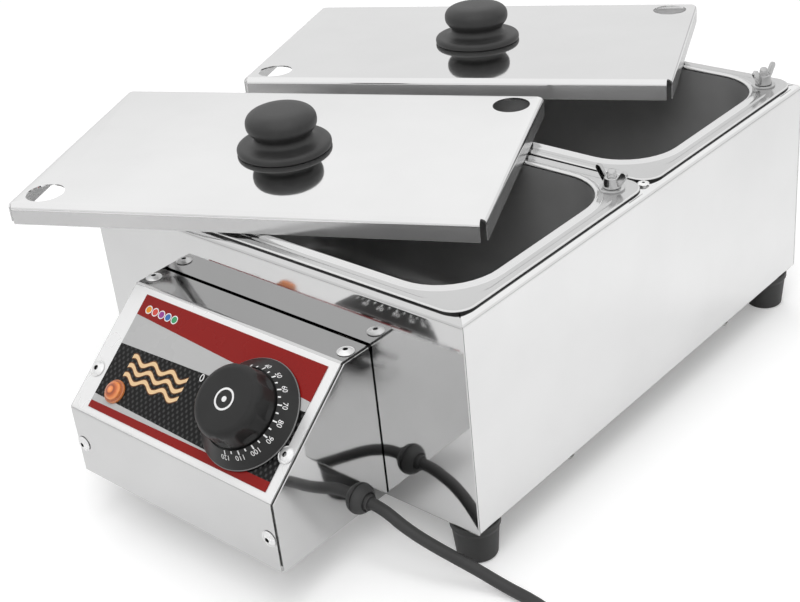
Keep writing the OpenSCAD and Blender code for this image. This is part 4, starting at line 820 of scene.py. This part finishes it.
# Blind rivet head: low dome with a rim, the stem's hole in the middle, painted near black as shade
def addRivets(name, node, spots, head, dome, hole, depth, mouth=0.80, rim=0.12, edge=0.35, shank=0.8,
              inside=0.02):
    ball = (head * head + dome * dome) / (2 * dome)
    profile = [(hole, -depth), (hole, dome * mouth)]
    for k in range(7):
        r = hole + rim + (head - edge - hole - rim) * k / 6
        profile.append((r, dome - ball + sqrt(ball * ball - r * r)))
    profile += [(head - inset, z) for inset, z in rivetEdge]
    profile += [(hole + shank, 0.0), (hole + shank, -depth)]
    addCopies(name, lathe(profile, 32, closed=True), spots, "rivetAlloy", "rivet_alloy", node, bore=hole + inside)


def coverSpots(s):
    slopeOut = (0, -sin(slopeAngle), cos(slopeAngle))
    spots = []
    for x in (s["left"] + s["rivetInset"], s["right"] - s["rivetInset"]):
        spots.append(((x, s["topY"] + (s["wallY"] - s["topY"]) * s["rivetTopShare"], s["top"]), (0, 0, 1)))
        spots.append((onSlope(x, s["slopeRivet"]).translation, slopeOut))
        spots.append(((x, s["frontY"], s["low"] + (s["bendZ"] - s["low"]) * s["rivetFrontShare"]), (0, -1, 0)))
    return spots


# the box's steel: the front steel with painted shade lines and a painted darker top
finish["boxSteel"] = plainFinish("boxSteel", *finishes["frontSteel"], overlay=boxPaint)
addCover(boxSizes)
addRivets("coverRivets", "cover_rivets", coverSpots(boxSizes), **coverRivet)
addRivets("bridgeRivets", "bridge_rivets",
          [((side * bridgeRivetPlace["x"], 0, bridgeRivetPlace["z"]), (0, 0, 1)) for side in (-1, 1)], **bridgeRivet)
print("control box covered and riveted")

# Printed plate: bands of red and grey over a dark woven field, wavy warm lines and a row of dots
plateSizes = {"left": -70, "right": 67, "low": 4.45, "high": 72.95, "thickness": 0.5, "back": 0.02, "notch": 4.9,
              "notchSteps": 16, "unit": 100}
printColours = {"red": (0.25, 0.010, 0.008), "grey": 0.48, "dark": 0.003, "weave": 0.055, "cream": (0.80, 0.56, 0.32),
                "brown": (0.13, 0.05, 0.02), "dotRim": 0.80}
weaveSizes = {"across": 3.6, "up": 4.8}
plateBands = [("GREATER_THAN", -0.035, 45.5, "grey"), ("GREATER_THAN", 0.055, 57, "red"),
              ("LESS_THAN", 0.025, 10.8, "grey"), ("LESS_THAN", -0.01, 9.2, "red")]  # side, rise, edge, colour
waveSizes = {"left": -57, "right": -13, "length": 14.6, "swing": 1.7, "levels": (27.0, 32.4, 37.8),
             "widths": ((1.75, "brown"), (1.15, "cream"))}
dotSizes = {"left": -63, "step": 5.2, "s": 65.4, "rim": 2.45, "dot": 1.9,
            "tones": ((0.75, 0.30, 0.03), (0.62, 0.08, 0.06), (0.30, 0.06, 0.28), (0.05, 0.16, 0.42),
                      (0.06, 0.32, 0.14))}


def platePrint(tree, colour):
    calc, mix, ink = partial(addMath, tree), partial(mixColour, tree), printColours
    x, s = (calc("MULTIPLY", part, plateSizes["unit"]) for part in list(platePlace(tree))[:2])
    ribs = [calc("COSINE", calc("MULTIPLY", v, 2 * pi / weaveSizes[k])) for v, k in ((x, "across"), (s, "up"))]
    colour = mix(calc("MAXIMUM", calc("MULTIPLY", *ribs), 0), colour, ink["weave"])
    for side, rise, edge, tone in plateBands:
        colour = mix(calc(side, calc("ADD", s, calc("MULTIPLY", x, rise)), edge), colour, ink[tone])
    w = waveSizes
    inside = calc("MULTIPLY", calc("GREATER_THAN", x, w["left"]), calc("LESS_THAN", x, w["right"]))
    wave = calc("MULTIPLY", calc("SINE", calc("MULTIPLY", x, 2 * pi / w["length"])), w["swing"])
    for width, tone in w["widths"]:
        for level in w["levels"]:
            far = calc("ABSOLUTE", calc("SUBTRACT", s, calc("ADD", wave, level)))
            colour = mix(calc("MULTIPLY", inside, calc("LESS_THAN", far, width)), colour, ink[tone])
    d = dotSizes
    for k, tone in enumerate(d["tones"]):
        across, up = calc("SUBTRACT", x, d["left"] + d["step"] * k), calc("SUBTRACT", s, d["s"])
        far = calc("SQRT", calc("ADD", calc("MULTIPLY", across, across), calc("MULTIPLY", up, up)))
        colour = mix(calc("LESS_THAN", far, d["rim"]), colour, ink["dotRim"])
        colour = mix(calc("LESS_THAN", far, d["dot"]), colour, tone)
    return colour


def addPlate(left, right, low, high, thickness, back, notch, notchSteps, unit):
    rivetX = boxSizes["right"] - boxSizes["rivetInset"]
    reach = degrees(acos((rivetX - right) / notch))  # notch round the rivet
    cut = arc(rivetX, boxSizes["slopeRivet"], notch, notch, 180 + reach, 180 - reach, notchSteps)
    outline = [(left, low), (right, low), *cut, (right, high), (left, high)]
    shape = prism([(x, y, thickness) for x, y in outline], [(x, y, back) for x, y in outline])
    uv = [(x / unit, y / unit) for x, y in outline] * 2
    addPiece("facePlate", shape, "printedPlate", "printed_plate", "faceplate", place=onSlope(0, 0), uv=uv)


finish["printedPlate"] = plainFinish("printedPlate", (printColours["dark"],) * 2, (0.22, 0.34), metal=0,
                                     scales=(40, 1800), bump=("Grain", 0.05, 0.02), sheen=0.2, overlay=platePrint)
addPlate(**plateSizes)


# Text as a mesh in millimetres, centred on its width, standing on its baseline
def textMesh(words, size, thick):
    curve = bpy.data.curves.new("numeral", "FONT")
    curve.body, curve.size, curve.extrude = words, size, thick / 2
    curve.align_x = "CENTER"
    curve.resolution_u = 3
    obj = addObject("numeral", curve)
    mesh = meshOf(obj)
    verts = [v.co.copy() for v in mesh.vertices]
    faces = [tuple(p.vertices) for p in mesh.polygons]
    bpy.data.objects.remove(obj)
    bpy.data.curves.remove(curve)
    bpy.data.meshes.remove(mesh)
    return verts, faces


# Dial: conical skirt, scalloped grip
dialSizes = {
    "x": 36.5, "s": 36, "foot": 7, "skirt": 30, "base": 1.0, "rim": 2.0, "rimEdge": 0.35, "rimStep": 0.1,
    "rimDrop": 0.3, "grip": 21, "gripFoot": 21.6, "gripZ": 10, "gripStep": 0.5, "gripTop": 20.2, "height": 23.5,
    "flat": 9, "topRound": 4.6, "gap": 0.6, "grooveIn": 0.1, "scallops": 8, "scallopFrom": 10, "scallopR": 12,
    "scallopAt": 31.2, "scallopLow": 0.8, "scallopRamp": 1.6, "steps": 192,
}


def scalloped(x, y, z, s):
    r, gap = hypot(x, y), 2 * pi / s["scallops"]
    off = (atan2(y, x) - radians(s["scallopFrom"]) + gap / 2) % gap - gap / 2
    side = s["scallopAt"] * sin(off)
    ramp = max(0.0, min(1.0, (z - s["gripZ"] - s["scallopLow"]) / s["scallopRamp"]))
    if abs(side) < s["scallopR"] and ramp > 0 and r > 0:
        edge = s["scallopAt"] * cos(off) - sqrt(s["scallopR"] ** 2 - side * side)
        if edge < r:
            share = (r + (edge - r) * ramp) / r
            return x * share, y * share, z
    return x, y, z


def addDial(s):
    skirt, grip, gap, gripZ, height = (s[k] for k in ("skirt", "grip", "gap", "gripZ", "height"))
    edge = (skirt - s["rimEdge"], s["rim"] + s["rimStep"])
    drop = atan2(gripZ - edge[1], edge[0] - s["gripFoot"])
    inner = s["gripFoot"] + gap * cos(drop)
    groove, shoulder = gripZ - 3 * gap, height - s["topRound"]
    profile = [(0, s["base"]), (s["foot"], s["base"]), (skirt, s["base"]), (skirt, s["rim"] - s["rimDrop"]), edge]
    highlightRow = len(profile) - 2  # the edge between the last two is paler, a painted highlight
    profile += between(edge, (inner, gripZ - gap * sin(drop)), 6)
    gripLow = (grip, gripZ + s["gripStep"])
    profile += [(inner - s["grooveIn"], groove), (grip - s["grooveIn"], groove), gripLow]
    profile += between(gripLow, (s["gripTop"], shoulder), 8)
    profile += arc(s["gripTop"] - s["topRound"], shoulder, s["topRound"], s["topRound"], 0, 90, 6)[1:]
    profile += [(s["flat"], height), (0, height)]
    verts, faces = lathe(profile, s["steps"])
    looks = [1 if k // s["steps"] == highlightRow else 0 for k in range(len(faces))]
    place = onSlope(s["x"], s["s"])
    addPiece("dialKnob", ([scalloped(*v, s) for v in verts], faces), ["dialMoulding", "dialRim"], "black_moulding",
             "dial_knob", body="dial", place=place, angle=32, faceLooks=looks)
    return drop, place


# Scale on the dial's skirt: numerals bent onto the cone, tops outwards, ticks, and a ring with a dot on the top
scaleSizes = {
    "ringR": 5.4, "ringW": 1.1, "dot": 1.5, "inkLow": 0.01, "inkHigh": 0.06, "numerals": range(40, 130, 10),
    "numeralFoot": 3.4, "numeralAt": 2.5, "numeralStep": 21.2, "numeralSize": 3.9, "numeralT": 0.05, "lift": 0.04,
    "firstTick": -18.7, "tickStep": 10.6, "ticks": 19, "tickFrom": 0.15, "tickLong": 2.3, "tickShort": 1.5,
    "tickW": 0.75, "tickT": 0.12,
}


def addNumerals(s, d, drop, place):
    parts = []
    for n, value in enumerate(s["numerals"]):
        verts, faces = textMesh(str(value), s["numeralSize"], s["numeralT"])
        bent = []
        for p in verts:
            q, lift = s["numeralFoot"] + p.y, p.z + s["lift"]
            r = d["gripFoot"] + q * cos(drop)
            angle = radians(s["numeralAt"] + s["numeralStep"] * n) + p.x / r
            r += lift * sin(drop)
            bent.append((r * sin(angle), r * cos(angle),
                         d["gripZ"] - q * sin(drop) + lift * cos(drop)))
        parts.append((bent, faces))
    low, high = d["height"] + s["inkLow"], d["height"] + s["inkHigh"]
    inner, outer = s["ringR"] - s["ringW"] / 2, s["ringR"] + s["ringW"] / 2
    parts.append(lathe([(inner, low), (inner, high), (outer, high), (outer, low)], 48, closed=True))
    parts.append(lathe([(0, low), (s["dot"], low), (s["dot"], high), (0, high)], 24))
    addPiece("dialNumerals", joined(parts), "whiteInk", "black_moulding", body="dial", place=place)


# Ticks of the scale: a row of small bars round the cone, every second one short
def buildTicks():
    floats = ("First", "Step", "Radius", "Height", "Tilt", "Long", "Short", "Width", "Thickness")
    tree, ins, outs = startGroup("scaleTicks", "Geometry", {
        "Start": "Geometry", **{name: "Float" for name in floats}, "Count": "Int", "Finish": "Material",
    }, {"Ticks": "Geometry"})
    add, calc = partial(addNode, tree), partial(addMath, tree)

    def vector(x, y, z):
        return add("ShaderNodeCombineXYZ", {"X": x, "Y": y, "Z": z})[0]

    tilt = ins["Tilt"]
    index = add("GeometryNodeInputIndex", {})["Index"]
    angle = calc("ADD", ins["First"], calc("MULTIPLY", index, ins["Step"]))
    less = calc("MULTIPLY", calc("MODULO", index, 2), calc("SUBTRACT", ins["Short"], ins["Long"]))
    length = calc("ADD", ins["Long"], less)
    half = calc("MULTIPLY", length, 0.5)
    out = calc("ADD", ins["Radius"], calc("MULTIPLY", half, calc("COSINE", tilt)))
    height = calc("SUBTRACT", ins["Height"], calc("MULTIPLY", half, calc("SINE", tilt)))
    at = vector(calc("MULTIPLY", out, calc("SINE", angle)), calc("MULTIPLY", out, calc("COSINE", angle)), height)
    turn = vector(calc("MULTIPLY", tilt, -1.0), 0.0, calc("MULTIPLY", angle, -1.0))
    bars = add("GeometryNodeInstanceOnPoints", {
        "Points": add("GeometryNodePoints", {"Count": ins["Count"], "Position": at})[0],
        "Instance": add("GeometryNodeMeshCube", {"Size": vector(ins["Width"], 1.0, ins["Thickness"])})["Mesh"],
        "Rotation": add("FunctionNodeEulerToRotation", {0: turn})[0], "Scale": vector(1.0, length, 1.0)})
    shape = add("GeometryNodeRealizeInstances", {"Geometry": bars["Instances"]})["Geometry"]
    shape = add("GeometryNodeSetMaterial", {"Geometry": shape, "Material": ins["Finish"]})
    feed(tree, outs, {"Ticks": shape["Geometry"]})
    return tree


def addTicks(s, d, drop, place):
    start = d["gap"] + s["tickFrom"]
    ticks = addTree(addObject("dialTicks", bpy.data.meshes.new("dialTicks")), buildTicks(), {
        "First": radians(s["firstTick"]), "Step": radians(s["tickStep"]), "Tilt": drop, "Count": s["ticks"],
        "Radius": d["gripFoot"] + start * cos(drop), "Height": d["gripZ"] - start * sin(drop),
        "Long": s["tickLong"], "Short": s["tickShort"], "Width": s["tickW"], "Thickness": s["tickT"],
        "Finish": finish["whiteInk"]})
    ticks.data.transform(Matrix.Scale(milli, 4) @ place)
    finishPiece(ticks, "dial", "black_moulding")


drop, dialPlace = addDial(dialSizes)
addNumerals(scaleSizes, dialSizes, drop, dialPlace)
addTicks(scaleSizes, dialSizes, drop, dialPlace)

# Zero mark on the plate, beside the dial
markSizes = {"x": -4.6, "s": 40.9, "size": 6.2, "ink": 0.06, "lift": 0.04,
             "pointer": [(-0.6, 40.2), (1.6, 39.3), (1.6, 40.1), (-0.6, 41.0)]}


def addZeroMark(x, s, size, ink, lift, pointer):
    verts, faces = textMesh("0", size, ink)
    lift += plateSizes["thickness"]
    sides = [[(px, py, lift + h) for px, py in pointer] for h in (-ink / 2, ink / 2)]
    parts = [([(p.x + x, p.y + s, p.z + lift) for p in verts], faces), prism(*sides)]
    addPiece("zeroMark", joined(parts), "whiteInk", "printed_plate", place=onSlope(0, 0))


addZeroMark(**markSizes)
print("plate and dial printed")

# Pilot lamp: flange and domed lens
lampSizes = {"x": -56.5, "s": 17.5, "low": -6.8, "seat": 0.5, "flange": 6.7, "rim": 1.8, "step": 0.7, "lens": 5.3,
             "lensGap": 0.1, "dome": 2.4, "stem": 4.9, "rounds": [0, 0.6, 0.3, 0], "unit": 10}


def addLamp(x, s, low, seat, flange, rim, step, lens, lensGap, dome, stem, rounds, unit):
    profile = [(0, low), (stem, low), (stem, seat)]
    profile += rounded([(flange, seat), (flange, rim), (lens + lensGap, rim), (lens, rim + step)], rounds, 4)
    verts, faces = lathe(profile + arc(0, rim + step, lens, dome, 0, 90, 8)[1:], 40)
    uv = [(hypot(px, py) / unit, atan2(py, px) / tau + 0.5) for px, py, pz in verts]
    addPiece("pilotLens", (verts, faces), "amberLens", "amber_lens", "pilot_lens", place=onSlope(x, s), uv=uv)


addLamp(**lampSizes)

# Rubber gland: flange inside the wall, dome outside, and a short nose with a groove round it
glandSizes = {"wall": 74.5, "y": -186.5, "z": 35.5, "flange": 7.4, "flangeBack": -3, "flangeFace": -1.02, "neck": 5.2,
              "dome": 8.6, "domeEdge": 0.3, "domeFoot": 0.02, "domeFrom": 0.05, "domeLength": 7, "groove": 5.3,
              "grooveDepth": 0.8, "grooveIn": 0.15, "nose": 4.45, "noseEdge": [(0, 0.5), (0.35, 0.05)], "tip": 7.5,
              "hole": 3.3}


def addGland(wall, y, z, flange, flangeBack, flangeFace, neck, dome, domeEdge, domeFoot, domeFrom, domeLength,
             groove, grooveDepth, grooveIn, nose, noseEdge, tip, hole):
    profile = [(0, flangeBack), (flange, flangeBack), (flange, flangeFace), (neck, flangeFace), (neck, domeFoot),
               (dome - domeEdge, domeFoot)]
    profile += arc(0, 0, dome, domeLength, degrees(domeFrom), degrees(acos(groove / dome)), 12)
    low = profile[-1][1] - grooveDepth
    rim = [(nose - inset, tip - drop) for inset, drop in noseEdge]
    profile += [(groove - grooveIn, low), (nose, low), *rim, (hole, tip), (0, tip)]
    place = Matrix.Translation((wall, y, z)) @ Matrix.Rotation(radians(90), 4, "Y")
    addPiece("cordGland", lathe(profile), "mattRubber", "rubber", "cord_gland", place=place, angle=40)


addGland(**glandSizes)

# Rubber feet, waisted under the rim, with a recess for the screw
footSizes = {"x": 122, "y": 152.5, "height": 23, "top": 13.5, "bottom": 11, "collar": 3.2, "waist": 12.6,
             "waistDrop": 5.44, "bore": 6, "seat": 10, "screw": 2.75, "rounds": [0, 1.2, 1.0, 0.8, 0.6, 0, 0, 0]}


def addFeet(x, y, height, top, bottom, collar, waist, waistDrop, bore, seat, screw, rounds):
    profile = rounded([(bore, 0), (bottom, 0), (waist, height - waistDrop), (top, height - collar), (top, height),
                       (screw, height), (screw, seat), (bore, seat)], rounds)
    spots = [((sx * x, sy * y, 0), (0, 0, 1)) for sx in (-1, 1) for sy in (-1, 1)]
    addCopies("rubberFeet", lathe(profile, 56, closed=True), spots, "mattRubber", "rubber", "feet")


addFeet(**footSizes)

# Clamps: threaded studs, washers and wing nuts at two corners of each pan; place and turn of each
clampSpots = {"front_left": (-118.5, -149, 35), "front_right": (118.5, -15, -8), "rear_left": (-118.5, 15, 60),
              "rear_right": (118.5, 149, 84)}
studSizes = {"rim": 151.3, "washer": 7, "washerHole": 2.75, "washerT": 1.2, "washerRound": [0, 0.3, 0.3, 0],
             "head": 4.2, "headT": 2.4, "radius": 2.5, "neck": 0.3, "low": 147, "high": 162.3, "pitch": 0.9,
             "thread": 0.32, "crest": (0.3, 0.5), "root": 0.9, "plain": 1.2, "tip": [(0.5, 0.2), (0.8, 0)]}
nutSizes = {
    "hub": 5.1, "hubTop": 4.1, "hubFoot": 0.1, "hubH": 6, "hubRound": [0, 0.4, 0.6, 0], "bore": 2.55, "thickness": 2,
    "wing": [(3.5, 1.0), (6.1, 1.6), (11.0, 8.4), (10.5, 10.2), (9.0, 11.0), (7.4, 10.5), (3.5, 5.0)],
    "wingRound": [0, 1.0, 1.2, 0.9, 0.9, 1.4, 0, 0],
}


def addStuds(rim, washer, washerHole, washerT, washerRound, head, headT, radius, neck, low, high, pitch, thread,
             crest, root, plain, tip):
    spots = [((x, y, 0), (0, 0, 1)) for x, y, turn in clampSpots.values()]
    ring = rounded([(washerHole, rim), (washer, rim), (washer, rim + washerT), (washerHole, rim + washerT)],
                   washerRound, 3)
    addCopies("clampWashers", lathe(ring, 40, closed=True), spots, "brightZinc", "zinc", "clamp_washers")
    rod = [(0, low - headT), (head, low - headT), (head, low), (radius - neck, low)]
    z = low
    while z < high - plain:  # crest and root of each turn of the thread
        rod += [(radius, z + share * pitch) for share in crest] + [(radius - thread, z + root * pitch)]
        z += pitch
    rod += [(radius - inset, high - drop) for inset, drop in tip] + [(0, high)]
    addCopies("clampStuds", lathe(rod, 28), spots, "brightZinc", "zinc", "clamp_studs", angle=70)


def addNut(name, x, y, z, turn, hub, hubTop, hubFoot, hubH, hubRound, bore, thickness, wing, wingRound):
    outline = rounded(wing + wing[:1], wingRound, 3)[:-1]
    hubLine = rounded([(bore, hubFoot), (hub, hubFoot), (hubTop, hubH), (bore, hubH)], hubRound, 3)
    parts = [lathe(hubLine, 36, closed=True)]
    for side in (1, -1):
        parts.append(prism(*([(side * u, t, h) for u, h in outline] for t in (-thickness / 2, thickness / 2))))
    place = Matrix.Translation((x, y, z)) @ Matrix.Rotation(radians(turn), 4, "Z")
    addPiece("wingNut_" + name, joined(parts), "brightZinc", "zinc", "wing_nut_" + name, body="wing_nut_" + name,
             place=place, bevel=0.45)


addStuds(**studSizes)
for name, (x, y, turn) in clampSpots.items():
    addNut(name, x, y, studSizes["rim"] + studSizes["washerT"], turn, **nutSizes)
print("lamp, gland, feet and clamps made")

# Pieces that keep their built shape get their finish here
keptFinish = {
    # the housing takes the box's steel with its painted shade lines
    "boxSteel": ["control_housing"],
    "mirrorSteel": ["bridge_rail"],
    "zincPlate": ["bottom_plate", "base_screws", "stud_brackets", "foot_screws", "foot_nuts", "thermostat_shaft",
                  "thermostat_body", "thermostat_screws", "pilot_clip", "heater_brackets", "bulb_clips",
                  "front_lid_screw", "rear_lid_screw"],
    "rivetAlloy": ["housing_rivets"],
    "paleCeramic": ["pilot_holder", "terminal_block", "heater_insulators"],
    "turnedBrass": ["terminal_screws", "earth_screw"],
    "mattRubber": ["wire_bush"],
    "heatDarkened": ["front_heater", "rear_heater"],
    "drawnCopper": ["capillary", "sensing_bulb"],
    "whiteSleeve": ["heater_wires", "lamp_wires"],
    "brownSleeve": ["supply_wires"],
    "earthSleeve": ["earth_wire"],
}
for look, nodeNames in keptFinish.items():
    for node in nodeNames:
        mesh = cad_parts[node].data
        mesh.materials.clear()
        mesh.materials.append(finish[look])
shown = {name for name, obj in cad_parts.items() if not obj.hide_render}
print("kept nodes without a finish here:", sorted(shown.difference(*keptFinish.values())))

# Table, background and light
stageSizes = {
    "reach": 6.0, "drop": 0.3, "floorTone": 0.86, "floorGlow": 0.24, "floorShine": 0.05, "farFrom": 1.05,
    "farTo": 2.2, "farGlow": 0.9, "skyFill": 0.46, "horizon": 1.05, "high": 1.24, "liftFrom": 0.30,
    "liftTo": 0.42, "backdrop": 1.25,
}


def emptyTree(owner):
    owner.use_nodes = True
    owner.node_tree.nodes.clear()
    return owner.node_tree


# The table glows a little, more so far from the object, where it meets the backdrop
def addStage(s):
    mesh = bpy.data.meshes.new("table")
    r, z = s["reach"], -s["drop"] * milli
    mesh.from_pydata([(-r, -r, z), (r, -r, z), (r, r, z), (-r, r, z)], [], [(0, 1, 2, 3)])
    floor = addObject("table", mesh)
    material = bpy.data.materials.new("tableTop")
    tree = emptyTree(material)
    add, calc = partial(addNode, tree), partial(addMath, tree)
    away = add("ShaderNodeVectorMath", {0: objectPlace(tree)}, operation="LENGTH")["Value"]
    seen = remap(tree, away, (s["floorGlow"], s["farGlow"]), (s["farFrom"], s["farTo"]))
    path, strength = add("ShaderNodeLightPath", {}), 0.0
    shares = {"Camera": seen, "Transmission": s["floorGlow"], "Glossy": s["floorShine"]}
    for ray, share in shares.items():
        strength = calc("MULTIPLY_ADD", path["Is " + ray + " Ray"], share, strength)
    matt = add("ShaderNodeBsdfDiffuse", {"Color": asColour(s["floorTone"])})[0]
    glow = add("ShaderNodeEmission", {"Strength": strength})[0]
    add("ShaderNodeOutputMaterial", {"Surface": add("ShaderNodeAddShader", {0: matt, 1: glow})[0]})
    mesh.materials.append(material)


def addWorld(s):
    scene.world = bpy.data.worlds.new("studio")
    tree = emptyTree(scene.world)
    add = partial(addNode, tree)
    up = splitUp(tree, add("ShaderNodeTexCoord", {})["Generated"])["Z"]
    lift = remap(tree, up, (s["horizon"], s["high"]), (s["liftFrom"], s["liftTo"]), interpolation_type="SMOOTHSTEP")
    path, strength = add("ShaderNodeLightPath", {}), s["skyFill"]
    for ray, value in {"Glossy": lift, "Transmission": 1.0, "Camera": s["backdrop"]}.items():
        strength = add("ShaderNodeMix", {0: path["Is " + ray + " Ray"], 2: strength, 3: value})[0]
    add("ShaderNodeOutputWorld", {"Surface": add("ShaderNodeBackground", {"Strength": strength})[0]})


# Soft boxes: place, aim, size and power
lamps = {
    "topBox": dict(place=(0.1, -0.15, 1.4), aim=(0.05, -0.1, 0), size=(1.0, 1.0), power=8.5),
    "keyBox": dict(place=(0.9, -1.3, 1.7), aim=(0, 0, 0.05), size=(1.2, 1.2), power=16),
    "backBox": dict(place=(-1.4, 1.2, 1.5), aim=(0, 0, 0.1), size=(1.4, 1.0), power=14),
}


def addSoftBox(name, place, aim, size, power):
    light = bpy.data.lights.new(name, "AREA")
    light.shape = "RECTANGLE"
    light.size, light.size_y = size
    light.energy = power
    box = addObject(name, light)
    box.location = place
    box.rotation_euler = (Vector(aim) - Vector(place)).to_track_quat("-Z", "Y").to_euler()
    box.visible_camera = False
    box.visible_glossy = False


addStage(stageSizes)
addWorld(stageSizes)
for name, values in lamps.items():
    addSoftBox(name, **values)
print("stage lit")
